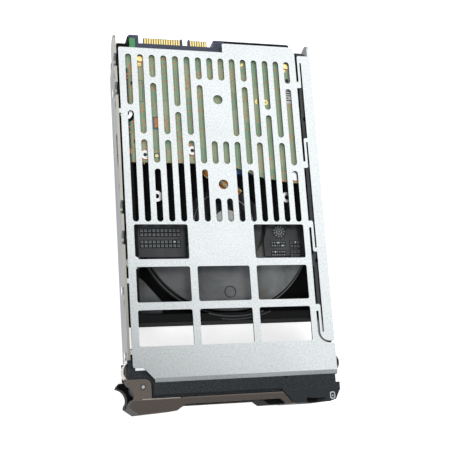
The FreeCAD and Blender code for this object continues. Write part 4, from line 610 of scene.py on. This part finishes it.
# %% Dressing the fixed nodes
NODE_FINISH = {
    "tray_sheet": "galvanised_steel",
    "drive_studs": "bright_steel",
    "drive_casting": "casting",
    "drive_cover": "aluminium",
    "cover_screws": "bright_steel",
    "circuit_board": "solder_mask",
    "board_screws": "bright_steel",
    "connector_socket": "socket",
    "power_contacts": "gold",
    "data_contacts": "gold",
    "spindle_motor": "motor_steel",
    "motor_lead": "film",
    "bezel_frame": "bezel_abs",
    "bezel_rivets": "bright_steel",
    "end_cap": "cap_abs",
    "status_lenses": "light_pipe",
    "handle_frame": "taupe_abs",
    "handle_grille": "black_abs",
    "ejector_claw": "black_abs",
    "hinge_pin": "bright_steel",
    "release_latch": "black_abs",
    "contact_spring_left": "spring_steel",
    "contact_spring_right": "spring_steel",
}
for name, finish in NODE_FINISH.items():
    nodes[name].data.materials.clear()
    nodes[name].data.materials.append(FINISHES[finish])
print("finished nodes", len(NODE_FINISH), "of", len(nodes))

# %% [markdown]
# ## Helpers for the shapes of pieces
# A detail is drawn as a flat outline and given a thickness, or turned as a ring round an
# axis.  All helpers work in millimetres and add to one mesh, so a set of like details is one
# piece.  A thin mark starts a hair inside its surface, so that no gap shows under it.

# %% Helpers for the shapes of pieces
EMBED = 0.02


def prism(mesh, points, low, high):
    """Adds an upright prism over an outline that runs anticlockwise."""
    floor_ring = [mesh.verts.new(Vector((x, y, low)) * MM) for x, y in points]
    roof_ring = [mesh.verts.new(Vector((x, y, high)) * MM) for x, y in points]
    mesh.faces.new(floor_ring[::-1])
    mesh.faces.new(roof_ring)
    for i in range(len(points)):
        j = (i + 1) % len(points)
        mesh.faces.new((floor_ring[i], floor_ring[j], roof_ring[j], roof_ring[i]))


def ring(mesh, x, y, profile, sides=28, start=0.0, sweep=360.0):
    """Turns a closed profile of (radius, height) round an upright axis, wholly or in part."""
    whole = sweep >= 360.0
    stations = sides if whole else sides + 1
    loops = []
    for k in range(stations):
        angle = math.radians(start + sweep * k / sides)
        loops.append([mesh.verts.new(Vector((x + r * math.cos(angle), y + r * math.sin(angle), z)) * MM)
                      for r, z in profile])
    for k in range(sides):
        here, there = loops[k], loops[(k + 1) % stations]
        for i in range(len(profile)):
            j = (i + 1) % len(profile)
            mesh.faces.new((here[i], there[i], there[j], here[j]))
    if not whole:
        mesh.faces.new(loops[0])
        mesh.faces.new(loops[-1][::-1])


def washer(mesh, x, y, inner, outer, low, high, sides=28, start=0.0, sweep=360.0):
    """Adds a flat ring, or an arc of one, between two radii and two heights."""
    ring(mesh, x, y, ((inner, low), (outer, low), (outer, high), (inner, high)), sides, start, sweep)


def circle_points(x, y, radius, sides=20):
    """The outline of a disc."""
    return [(x + radius * math.cos(2 * math.pi * k / sides),
             y + radius * math.sin(2 * math.pi * k / sides)) for k in range(sides)]


def block_points(left, right, front, rear):
    """The outline of a block."""
    return [(left, front), (right, front), (right, rear), (left, rear)]


print("a disc of", len(circle_points(0, 0, 1)), "points, a block of", len(block_points(0, 1, 0, 1)))

# %% [markdown]
# ## Placing a piece
# The finished mesh is wound outwards, dressed and set to ride on the body that carries it, so
# that it moves with the joint.

# %% Placing a piece
def place_piece(name, mesh, finish, body):
    """Turns a bmesh or a mesh into a dressed object that rides on a body."""
    if isinstance(mesh, bmesh.types.BMesh):
        bmesh.ops.recalc_face_normals(mesh, faces=mesh.faces)
        data = bpy.data.meshes.new(name)
        mesh.to_mesh(data)
        mesh.free()
    else:
        data = mesh
        data.name = name
    data.materials.clear()
    data.materials.append(FINISHES[finish])
    piece = bpy.data.objects.new(name, data)
    bpy.context.scene.collection.objects.link(piece)
    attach(piece, body)
    print("piece", name, "triangles", sum(len(f.vertices) - 2 for f in data.polygons))
    return piece


board_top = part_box("circuit_board")[1][2] / MM
print("board top at", round(board_top, 2), "mm")

# %% [markdown]
# ## Helpers for Geometry Nodes
# Details that repeat are grown by node trees.  A tree has a named input for each of its
# sizes, and ends by making its instances real and dressing them, because the export drops
# instances.  It is run on a small carrier mesh and kept as a plain mesh, so nothing is left
# to evaluate later.

# %% Helpers for Geometry Nodes
def geometry_tree(name, sizes):
    """A node group with a geometry input and a named input for each size, and its input sockets."""
    tree = bpy.data.node_groups.new(name, "GeometryNodeTree")
    tree.interface.new_socket("Geometry", in_out="INPUT", socket_type="NodeSocketGeometry")
    for label, kind, start in sizes:
        socket = tree.interface.new_socket(label, in_out="INPUT", socket_type=kind)
        socket.default_value = start
    tree.interface.new_socket("Geometry", in_out="OUTPUT", socket_type="NodeSocketGeometry")
    return tree, node(tree, "NodeGroupInput").outputs


def end_tree(tree, copies, finish):
    """Ends a tree: makes its instances real, dresses them and puts them out."""
    real = node(tree, "GeometryNodeRealizeInstances", Geometry=copies.outputs[0])
    dressed = node(tree, "GeometryNodeSetMaterial", Geometry=real.outputs[0], Material=FINISHES[finish])
    node(tree, "NodeGroupOutput", Geometry=dressed.outputs[0])
    return tree


def grown(name, data, tree, **sizes):
    """Runs a tree on a mesh, with its inputs set by their identifiers, and returns a plain mesh."""
    carrier = bpy.data.objects.new(name, data)
    bpy.context.scene.collection.objects.link(carrier)
    modifier = carrier.modifiers.new("grow", "NODES")
    modifier.node_group = tree
    for item in tree.interface.items_tree:
        if item.in_out == "INPUT" and item.name.replace(" ", "_") in sizes:
            modifier[item.identifier] = sizes[item.name.replace(" ", "_")]
    carrier.update_tag()
    ready = carrier.evaluated_get(bpy.context.evaluated_depsgraph_get())
    made = bpy.data.meshes.new_from_object(ready)
    carrier.modifiers.remove(modifier)
    bpy.data.objects.remove(carrier)
    return made


print("node groups so far", len(bpy.data.node_groups))

# %% [markdown]
# ## Solder points and vias
# A board's component side faces the drive, so what shows here are hundreds of tiny tinned
# points where tracks change layer.  They gather in clusters and sit on a grid.  Points are
# scattered over the board's own top face where a noise is high, snapped to the grid, merged
# where two fall together, and a small eight-sided dot is set on each.

# %% Solder points
def scattered_dots_tree():
    """Grows dots over a face, in clusters and on a grid."""
    sizes = (("Grid", "NodeSocketFloat", 0.9 * MM), ("Per Area", "NodeSocketFloat", 6.5e5),
             ("Radius", "NodeSocketFloat", 0.4 * MM), ("Seed", "NodeSocketInt", 3))
    tree, given = geometry_tree("scattered_dots", sizes)
    place = node(tree, "GeometryNodeInputPosition")
    fine = node(tree, "ShaderNodeVectorMath", {"operation": "SCALE"}, _0=place.outputs[0], Scale=1 / MM)
    cluster = node(tree, "ShaderNodeTexNoise", Vector=fine.outputs[0], Scale=1 / 7, Detail=1.0)
    crowd = node(tree, "ShaderNodeMapRange", Value=cluster.outputs[0], From_Min=0.46, From_Max=0.72,
                 To_Min=0.03, To_Max=1.0)
    density = node(tree, "ShaderNodeMath", {"operation": "MULTIPLY"}, _0=crowd.outputs[0],
                   _1=given["Per Area"])
    points = node(tree, "GeometryNodeDistributePointsOnFaces", Mesh=given["Geometry"],
                  Density=density.outputs[0], Seed=given["Seed"])
    grid = node(tree, "ShaderNodeCombineXYZ", X=given["Grid"], Y=given["Grid"], Z=0.0)
    where = node(tree, "GeometryNodeInputPosition")
    snapped = node(tree, "ShaderNodeVectorMath", {"operation": "SNAP"}, _0=where.outputs[0],
                   _1=grid.outputs[0])
    flat = node(tree, "ShaderNodeSeparateXYZ", Vector=snapped.outputs[0])
    level = node(tree, "ShaderNodeSeparateXYZ", Vector=where.outputs[0])
    target = node(tree, "ShaderNodeCombineXYZ", X=flat.outputs[0], Y=flat.outputs[1], Z=level.outputs[2])
    moved = node(tree, "GeometryNodeSetPosition", Geometry=points.outputs["Points"],
                 Position=target.outputs[0])
    single = node(tree, "GeometryNodeMergeByDistance", Geometry=moved.outputs[0], Distance=0.05 * MM)
    dot = node(tree, "GeometryNodeMeshCylinder", Vertices=8, Radius=given["Radius"], Depth=0.06 * MM)
    copies = node(tree, "GeometryNodeInstanceOnPoints", Points=single.outputs[0],
                  Instance=dot.outputs["Mesh"])
    return end_tree(tree, copies, "tinned_copper")


def top_faces(name, height):
    """A copy of the upward faces of a fixed node at one height in millimetres."""
    mesh = bmesh.new()
    mesh.from_mesh(nodes[name].data)
    spare = [face for face in mesh.faces
             if face.normal.z < 0.9 or abs(face.calc_center_median().z / MM - height) > 0.05]
    bmesh.ops.delete(mesh, geom=spare, context="FACES")
    data = bpy.data.meshes.new(name + "_top")
    mesh.to_mesh(data)
    mesh.free()
    return data


dots = grown("solder_points", top_faces("circuit_board", board_top), scattered_dots_tree())
place_piece("solder_points", dots, "tinned_copper", "carrier")

# %% [markdown]
# ## Rows of vias and test pads
# Along the board's front edge a row of vias stitches the ground layers together, and short
# rows of pads stand by the left rail.  Each row is a line that is resampled at its pitch, with
# a dot on every point, so moving a row means moving the ends of its line.

# %% Rows of vias and pads
FRONT_ROW = ((-44.6, 29.5), (2.0, 29.5), (22.0, 22.4), (38.0, 19.9), (43.6, 19.9))
PAD_ROWS = (((-44.3, 79.0), (-44.3, 61.0)), ((-43.9, 50.2), (-43.9, 40.5)),
            ((-38.3, 39.2), (-38.3, 35.4)), ((-43.9, 34.0), (-43.9, 31.0)))


def dotted_lines_tree():
    """Grows dots along lines at an even pitch."""
    sizes = (("Pitch", "NodeSocketFloat", 2.2 * MM), ("Radius", "NodeSocketFloat", 0.32 * MM))
    tree, given = geometry_tree("dotted_lines", sizes)
    line = node(tree, "GeometryNodeMeshToCurve", Mesh=given["Geometry"])
    spaced = node(tree, "GeometryNodeResampleCurve", {"mode": "LENGTH"}, Curve=line.outputs[0],
                  Length=given["Pitch"])
    dot = node(tree, "GeometryNodeMeshCylinder", Vertices=10, Radius=given["Radius"], Depth=0.08 * MM)
    copies = node(tree, "GeometryNodeInstanceOnPoints", Points=spaced.outputs[0],
                  Instance=dot.outputs["Mesh"])
    return end_tree(tree, copies, "tinned_copper")


def line_mesh(name, *lines):
    """Polylines at the height of the board's top, from points in millimetres."""
    data = bpy.data.meshes.new(name)
    points, edges = [], []
    for line in lines:
        edges += [(len(points) + i, len(points) + i + 1) for i in range(len(line) - 1)]
        points += [Vector((x, y, board_top)) * MM for x, y in line]
    data.from_pydata(points, edges, [])
    return data


dotted = dotted_lines_tree()
vias = grown("edge_vias", line_mesh("front_row", FRONT_ROW), dotted)
place_piece("edge_vias", vias, "tinned_copper", "carrier")
rows = grown("pad_rows", line_mesh("pad_rows", *PAD_ROWS), dotted, Pitch=1.6 * MM, Radius=0.42 * MM)
place_piece("pad_rows", rows, "tinned_copper", "carrier")

# %% [markdown]
# ## Screw heads on the board
# Each screw head sits in a ring of bare copper.  Two show a six-lobed socket, drawn as a black
# lobed disc that is painted shade of the recess, and the two at the rear are capped with gilt
# discs.  A lobed outline is a circle whose radius swings six times in a turn, which is simpler
# than drawing arcs.

# %% Screw heads on the board
SCREWS = ((-39.0, 32.3), (-14.9, 35.0), (39.0, 22.3), (-39.0, 84.0), (39.0, 84.0))
OPEN_SOCKETS = SCREWS[:2]
GILT_HEADS = SCREWS[3:]
COPPER_INNER, COPPER_OUTER, COPPER_THICK = 2.35, 2.8, 0.05
SOCKET_RADIUS, LOBE_SWING, SOCKET_PROUD = 0.95, 0.17, 0.02
CAP_RADIUS, CAP_OFFSET, CAP_THICK = 1.8, 0.4, 0.04
head_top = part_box("board_screws")[1][2] / MM

rings = bmesh.new()
for x, y in SCREWS:
    washer(rings, x, y, COPPER_INNER, COPPER_OUTER, board_top, board_top + COPPER_THICK)
place_piece("copper_rings", rings, "tinned_copper", "carrier")


def lobed_points(x, y, radius, swing, lobes=6, sides=24):
    """The outline of a lobed socket."""
    points = []
    for k in range(sides):
        angle = 2 * math.pi * k / sides
        reach = radius + swing * math.cos(lobes * angle)
        points.append((x + reach * math.cos(angle), y + reach * math.sin(angle)))
    return points


# painted shade: a black lobed disc stands for each socket's recess
socket_shade = bmesh.new()
for x, y in OPEN_SOCKETS:
    lobed = lobed_points(x, y, SOCKET_RADIUS, LOBE_SWING)
    prism(socket_shade, lobed, head_top - EMBED, head_top + SOCKET_PROUD)
place_piece("screw_sockets", socket_shade, "black_epoxy", "carrier")

gilt = bmesh.new()
for x, y in GILT_HEADS:
    disc = circle_points(x, y - CAP_OFFSET, CAP_RADIUS, 28)
    prism(gilt, disc, head_top - EMBED, head_top + CAP_THICK)
place_piece("gilt_caps", gilt, "gold", "carrier")

# %% [markdown]
# ## Test pads and capacitor
# Near the screws lie round gold test pads with a hole in each.  The tantalum capacitor is a
# moulded block, so a Bevel modifier rounds its edges, which is quicker than drawing them.

# %% Test pads and capacitor
# X, Y and radius of each pad
TEST_PADS = ((-39.6, 80.4, 0.9), (37.6, 80.7, 0.9), (14.0, 83.6, 1.5), (21.9, 62.8, 1.4),
             (26.1, 62.6, 1.4), (-33.1, 32.0, 0.8))
HOLE_SHARE, PAD_THICK = 0.4, 0.07
# left, right, front and rear
CAPACITOR = (-33.1, -29.9, 46.8, 51.8)
CAPACITOR_HIGH, EDGE_RADIUS = 0.6, 0.15

pads = bmesh.new()
for x, y, radius in TEST_PADS:
    washer(pads, x, y, HOLE_SHARE * radius, radius, board_top, board_top + PAD_THICK)
place_piece("test_pads", pads, "gold", "carrier")

moulding = bmesh.new()
prism(moulding, block_points(*CAPACITOR), board_top, board_top + CAPACITOR_HIGH)
capacitor = place_piece("tantalum_capacitor", moulding, "tinned_copper", "carrier")
soften = capacitor.modifiers.new("soften", "BEVEL")
soften.width = EDGE_RADIUS * MM
soften.segments = 2

# %% [markdown]
# ## Printed frames and chips
# The board is printed with thin grey frames: one round the capacitor, the long frame of a
# chip's land pattern and a small one round a pad.  A frame is four bars.  Three chip resistors
# are plain blocks, because only a corner of each shows through a slot.

# %% Printed frames and chips
# left, right, front and rear of each printed frame, and the width of its line
PRINTED_FRAMES = ((-34.2, -28.8, 45.8, 52.6, 0.8), (-41.4, -38.5, 60.2, 71.9, 0.3),
                  (-34.4, -31.8, 30.8, 33.4, 0.4))
CHIPS = ((-44.5, -43.3, 69.2, 70.7), (-44.2, -43.1, 38.3, 39.9), (38.3, 39.7, 74.3, 76.0))
INK_THICK, CHIP_HIGH = 0.04, 0.5


def frame_outline(mesh, left, right, front, rear, width, low, high):
    """Adds a rectangular frame of four bars."""
    bars = (block_points(left, right, front, front + width),
            block_points(left, right, rear - width, rear),
            block_points(left, left + width, front + width, rear - width),
            block_points(right - width, right, front + width, rear - width))
    for points in bars:
        prism(mesh, points, low, high)


frames = bmesh.new()
for values in PRINTED_FRAMES:
    frame_outline(frames, *values, board_top, board_top + INK_THICK)
place_piece("printed_frames", frames, "grey_ink", "carrier")

chips = bmesh.new()
for block in CHIPS:
    prism(chips, block_points(*block), board_top, board_top + CHIP_HIGH)
place_piece("chip_resistors", chips, "black_epoxy", "carrier")

# %% [markdown]
# ## Paper label
# A small paper label is stuck on the board near the right rail.  It carries plain bars in
# place of writing, which look like print from here and say nothing.

# %% Paper label
LABEL = (36.8, 41.6, 62.6, 71.0)
# left and right ends of the bars, from the front one
BARS = ((37.4, 40.6), (37.4, 39.2), (37.9, 40.9), (37.4, 40.1), (38.3, 40.6))
BAR_FRONT, BAR_PITCH, BAR_WIDTH = 64.0, 1.3, 0.5
PAPER_THICK, BAR_LOW, BAR_HIGH = 0.06, 0.05, 0.08

paper = bmesh.new()
prism(paper, block_points(*LABEL), board_top, board_top + PAPER_THICK)
place_piece("blank_label", paper, "label_paper", "carrier")
print_bars = bmesh.new()
for k, (left, right) in enumerate(BARS):
    front = BAR_FRONT + BAR_PITCH * k
    bar = block_points(left, right, front, front + BAR_WIDTH)
    prism(print_bars, bar, board_top + BAR_LOW, board_top + BAR_HIGH)
place_piece("label_bars", print_bars, "black_epoxy", "carrier")

# %% [markdown]
# ## Lead socket and spindle motor
# A blue nylon socket takes the motor's lead.  The motor's hub turns under a plain round label,
# and a shallow pressed rim rings it in two arcs.  The label is paper, so it is matt and a
# little warmer than the zinc around it.

# %% Lead socket and spindle motor
LEAD_SOCKET = (6.2, 17.6, 23.6, 28.0)
SOCKET_LOW, SOCKET_HIGH = 21.4, 24.1
REAR_FLOOR = 21.1
RIM_HIGH, RIM_SLOPE = 21.7, 0.2
LABEL_INNER, LABEL_OUTER, LABEL_THICK = 1.1, 6.8, 0.08
# inner and outer radius, start and sweep in degrees of each pressed arc
MOTOR_RIMS = ((13.6, 14.6, -30.0, 110.0), (16.4, 17.0, 120.0, 95.0))

lead_socket = bmesh.new()
prism(lead_socket, block_points(*LEAD_SOCKET), SOCKET_LOW, SOCKET_HIGH)
place_piece("lead_socket", lead_socket, "blue_nylon", "carrier")

hub_low, hub_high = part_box("spindle_motor")
hub_x, hub_y = (hub_low.x + hub_high.x) / 2 / MM, (hub_low.y + hub_high.y) / 2 / MM
hub_top = hub_high.z / MM
label = bmesh.new()
washer(label, hub_x, hub_y, LABEL_INNER, LABEL_OUTER, hub_top, hub_top + LABEL_THICK, 48)
place_piece("motor_label", label, "label_paper", "carrier")
rim = bmesh.new()
for inner, outer, start, sweep in MOTOR_RIMS:
    profile = ((inner, REAR_FLOOR), (outer, REAR_FLOOR), (outer - RIM_SLOPE, RIM_HIGH),
               (inner + RIM_SLOPE, RIM_HIGH))
    ring(rim, hub_x, hub_y, profile, 40, start, sweep)
place_piece("motor_rims", rim, "aluminium", "carrier")

# %% [markdown]
# ## Date grids
# A die carries date grids: rows of small raised squares that the foundry punches as time
# passes.  The squares are drawn paler than the coat as painted highlight.  A grid is
# instancing twice over: a few squares make a block, and the block is set on every point of a
# wider mesh grid.  Each grid lies in a dark frame, a thin patch of painted shade that stands
# out from under the squares.

# %% Date grids
# height of the floor beside the bowl, height of a square and of its middle over that floor
PLATEAU, SQUARE_HIGH, SQUARE_MIDDLE = 22.3, 0.3, 0.1
# margin of the dark frame round its squares, and how far it goes into and over the floor
FRAME_MARGIN, FRAME_UNDER, FRAME_OVER = 0.5, 0.05, 0.02
# centre X and Y, columns, rows, pitch along X and Y, squares a side in a block, their spread and size
DATE_GRIDS = {
    "left_grid_rear": (-33.0, -6.7, 10, 2, 2.03, 2.05, 2, 0.72, 0.52),
    "left_grid_front": (-33.1, -12.4, 10, 2, 2.03, 2.05, 2, 0.72, 0.52),
    "right_grid_rear": (28.0, -12.9, 6, 2, 1.25, 1.6, 1, 0.0, 0.75),
    "right_grid_front": (27.9, -17.7, 6, 2, 1.25, 1.6, 1, 0.0, 0.75),
    "plus_grid_rear": (37.1, -13.1, 3, 2, 1.8, 1.9, 2, 0.75, 0.42),
    "plus_grid_front": (36.9, -17.9, 3, 2, 1.8, 1.9, 2, 0.75, 0.42),
}


def date_grid_tree():
    """Grows blocks of small squares on a wider grid."""
    sizes = (("Columns", "NodeSocketInt", 10), ("Rows", "NodeSocketInt", 2),
             ("Length", "NodeSocketFloat", 18 * MM), ("Depth", "NodeSocketFloat", 2 * MM),
             ("Squares", "NodeSocketInt", 2), ("Spread", "NodeSocketFloat", 0.8 * MM),
             ("Square", "NodeSocketVector", (0.6 * MM, 0.6 * MM, SQUARE_HIGH * MM)),
             ("Centre", "NodeSocketVector", (0, 0, 0)))
    tree, given = geometry_tree("date_grid", sizes)
    near = node(tree, "GeometryNodeMeshGrid", Size_X=given["Spread"], Size_Y=given["Spread"],
                Vertices_X=given["Squares"], Vertices_Y=given["Squares"])
    square = node(tree, "GeometryNodeMeshCube", Size=given["Square"])
    block = node(tree, "GeometryNodeInstanceOnPoints", Points=near.outputs["Mesh"],
                 Instance=square.outputs["Mesh"])
    wide = node(tree, "GeometryNodeMeshGrid", Size_X=given["Length"], Size_Y=given["Depth"],
                Vertices_X=given["Columns"], Vertices_Y=given["Rows"])
    moved = node(tree, "GeometryNodeTransform", Geometry=wide.outputs["Mesh"],
                 Translation=given["Centre"])
    blocks = node(tree, "GeometryNodeInstanceOnPoints", Points=moved.outputs[0], Instance=block.outputs[0])
    # the squares are drawn in a paler coat as painted highlight
    return end_tree(tree, blocks, "worn_coat")


date_grid = date_grid_tree()
grid_frames = bmesh.new()
for name, (x, y, columns, rows, pitch_x, pitch_y, squares, spread, size) in DATE_GRIDS.items():
    length, depth = (columns - 1) * pitch_x, (rows - 1) * pitch_y
    made = grown(name, bpy.data.meshes.new(name), date_grid, Columns=columns, Rows=rows,
                 Length=length * MM, Depth=depth * MM, Squares=squares, Spread=spread * MM,
                 Square=(size * MM, size * MM, SQUARE_HIGH * MM),
                 Centre=(x * MM, y * MM, (PLATEAU + SQUARE_MIDDLE) * MM))
    place_piece(name, made, "worn_coat", "carrier")
    half_x = (length + spread + size) / 2 + FRAME_MARGIN
    half_y = (depth + spread + size) / 2 + FRAME_MARGIN
    # the frame is a thin patch of painted shade round the squares
    frame_shade = block_points(x - half_x, x + half_x, y - half_y, y + half_y)
    prism(grid_frames, frame_shade, PLATEAU - FRAME_UNDER, PLATEAU + FRAME_OVER)
place_piece("grid_frames", grid_frames, "sunk_coat", "carrier")

# %% [markdown]
# ## Punched marks and month wheel
# Where the foundry has struck a square, the coat is broken and bare aluminium shows as a
# bright dot.  The month wheel is a hub, a ring and eleven raised dots round it, drawn paler as
# painted highlight, with ticks between them and a line that joins the ticks, drawn dark as
# painted shade.

# %% Punched marks and month wheel
PUNCHES = ((-26.0, -11.4), (28.0, -12.2), (37.4, -11.9), (26.2, -17.0), (30.4, -13.7))
PUNCH_RADIUS, PUNCH_LOW, PUNCH_HIGH = 0.4, PLATEAU + 0.2, PLATEAU + 0.32
WHEEL_DOTS = 11
WHEEL_X, WHEEL_Y, WHEEL_TOP = 29.0, -6.3, PLATEAU + 0.25
HUB_RADIUS, COLLAR_INNER, COLLAR_OUTER = 0.6, 1.2, 1.7
DOT_CIRCLE, DOT_RADIUS = 2.6, 0.42
# corners of a tick, along and across its direction, and the line that joins the ticks
TICK_CORNERS = ((1.9, -0.15), (4.4, -0.15), (4.4, 0.15), (1.9, 0.15))
TICK_INNER, TICK_OUTER, TICK_TOP = 3.35, 3.6, PLATEAU + 0.04

bright = bmesh.new()
for x, y in PUNCHES:
    prism(bright, circle_points(x, y, PUNCH_RADIUS, 10), PUNCH_LOW, PUNCH_HIGH)
place_piece("bright_punches", bright, "aluminium", "carrier")

# the wheel is drawn in a paler coat as painted highlight
wheel = bmesh.new()
washer(wheel, WHEEL_X, WHEEL_Y, COLLAR_INNER, COLLAR_OUTER, PLATEAU, WHEEL_TOP)
prism(wheel, circle_points(WHEEL_X, WHEEL_Y, HUB_RADIUS, 12), PLATEAU, WHEEL_TOP)
for k in range(WHEEL_DOTS):
    angle = math.radians(360 / WHEEL_DOTS * k)
    x, y = WHEEL_X + DOT_CIRCLE * math.cos(angle), WHEEL_Y + DOT_CIRCLE * math.sin(angle)
    prism(wheel, circle_points(x, y, DOT_RADIUS, 8), PLATEAU, WHEEL_TOP)
place_piece("month_wheel", wheel, "worn_coat", "carrier")

# the ticks and their line are painted shade
ticks = bmesh.new()
hub = Vector((WHEEL_X, WHEEL_Y))
for k in range(WHEEL_DOTS):
    angle = math.radians(360 / WHEEL_DOTS * (k + 0.5))
    along = Vector((math.cos(angle), math.sin(angle)))
    side = Vector((-math.sin(angle), math.cos(angle)))
    corners = [hub + along * a + side * s for a, s in TICK_CORNERS]
    prism(ticks, [(c.x, c.y) for c in corners], PLATEAU - EMBED, TICK_TOP)
washer(ticks, WHEEL_X, WHEEL_Y, TICK_INNER, TICK_OUTER, PLATEAU - EMBED, TICK_TOP)
place_piece("wheel_ticks", ticks, "sunk_coat", "carrier")

# %% [markdown]
# ## Rims and ejector mark on the casting
# Two thin arcs round the spindle are painted highlights of ridges on the casting, and the
# ejector pin that pushed the casting out of the die left a round witness mark in the bowl's
# floor, drawn as a ring of painted shade.  They stand a few hundredths of a millimetre proud,
# just enough to catch their own tone.

# %% Rims and ejector mark on the casting
# heights of the front rail and of the bowl's floor, and how far a mark stands over them
FRONT_RAIL, BOWL_FLOOR, PROUD = 26.1, 20.3, 0.03
WITNESS_X, WITNESS_Y, WITNESS_INNER, WITNESS_OUTER = 1.5, -36.7, 2.72, 3.02
# inner and outer radius, start and sweep in degrees of each arc of painted highlight
CASTING_RIDGE_HIGHLIGHTS = ((47.6, 48.3, 254.0, 34.0), (49.2, 49.7, 262.0, 30.0))

ridge_highlights = bmesh.new()
for inner, outer, start, sweep in CASTING_RIDGE_HIGHLIGHTS:
    washer(ridge_highlights, *SPINDLE, inner, outer, FRONT_RAIL - EMBED, FRONT_RAIL + PROUD, 40, start, sweep)
place_piece("casting_rims", ridge_highlights, "rim_coat", "carrier")

witness_shade = bmesh.new()
washer(witness_shade, WITNESS_X, WITNESS_Y, WITNESS_INNER, WITNESS_OUTER, BOWL_FLOOR - EMBED,
       BOWL_FLOOR + PROUD, 40)
place_piece("ejector_mark", witness_shade, "sunk_coat", "carrier")

# %% [markdown]
# ## Hinge pin, countersink shade and fold highlight
# The handle turns on a headed pin whose flat end shows as a bright disc, with a black ring of
# painted shade for its countersink and a ring of the handle's own plastic round it.  A pale line
# of painted highlight runs along the fold where the handle's plate meets its bar.

# %% Hinge pin, countersink shade and fold highlight
# name, inner and outer radius and finish of each ring round the pin
# the black ring is painted shade of the pin's countersink
PIN_RINGS = (("pin_countersink", 0.8, 1.2, "black_epoxy"), ("pin_collar", 1.19, 1.62, "taupe_abs"))
FOLD_HIGHLIGHT = (-46.5, -28.2, -88.3, -87.9)
# how far these marks stand over the handle, and how far the fold highlight goes into it
MARK_PROUD, FOLD_DEPTH = 0.01, 0.1
pin_low, pin_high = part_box("hinge_pin")
pin_x, pin_y = (pin_low.x + pin_high.x) / 2 / MM, (pin_low.y + pin_high.y) / 2 / MM
pin_top = pin_high.z / MM
print("pin at", round(pin_x, 2), round(pin_y, 2), "top", round(pin_top, 2))
for name, inner, outer, finish in PIN_RINGS:
    pin_ring = bmesh.new()
    washer(pin_ring, pin_x, pin_y, inner, outer, pin_top - EMBED, pin_top + MARK_PROUD, 36)
    place_piece(name, pin_ring, finish, "handle")

# painted highlight: a pale strip along the handle's fold
crease_highlight = bmesh.new()
handle_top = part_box("handle_frame")[1][2] / MM
prism(crease_highlight, block_points(*FOLD_HIGHLIGHT), handle_top - FOLD_DEPTH, handle_top + MARK_PROUD)
place_piece("fold_line", crease_highlight, "pale_taupe", "handle")

# %% [markdown]
# ## Status mark
# On the end cap, a plain printed drum with a dot marks the status lights.  Its line is the
# band between two superellipses, which are circles drawn out towards a square.

# %% Status mark
MARK_X, MARK_Y, MARK_WIDE, MARK_TALL, MARK_LINE = 48.7, -91.1, 2.7, 3.5, 0.45
DRUM_DOT_RADIUS, DRUM_DOT_OFFSET = 0.42, 0.2
MARK_SIDES, MARK_UNDER, MARK_OVER = 32, 0.01, 0.02
cap_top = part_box("end_cap")[1][2] / MM
mark_low, mark_high = cap_top - MARK_UNDER, cap_top + MARK_OVER


def drum_points(half_wide, half_tall):
    """The outline of a superellipse of the fourth power."""
    points = []
    for k in range(MARK_SIDES):
        angle = 2 * math.pi * k / MARK_SIDES
        c, s = math.cos(angle), math.sin(angle)
        square = (abs(c) ** 4 + abs(s) ** 4) ** -0.25
        points.append((MARK_X + square * c * half_wide, MARK_Y + square * s * half_tall))
    return points


outer_line = drum_points(MARK_WIDE / 2, MARK_TALL / 2)
inner_line = drum_points(MARK_WIDE / 2 - MARK_LINE, MARK_TALL / 2 - MARK_LINE)
mark = bmesh.new()
loops = [[mark.verts.new(Vector((x, y, z)) * MM) for x, y in line]
         for line, z in ((outer_line, mark_low), (outer_line, mark_high), (inner_line, mark_high),
                         (inner_line, mark_low))]
for here, there in zip(loops, loops[1:] + loops[:1]):
    for k in range(MARK_SIDES):
        j = (k + 1) % MARK_SIDES
        mark.faces.new((here[k], here[j], there[j], there[k]))
prism(mark, circle_points(MARK_X, MARK_Y - DRUM_DOT_OFFSET, DRUM_DOT_RADIUS, 12), mark_low, mark_high)
place_piece("status_mark", mark, "white_ink", "carrier")
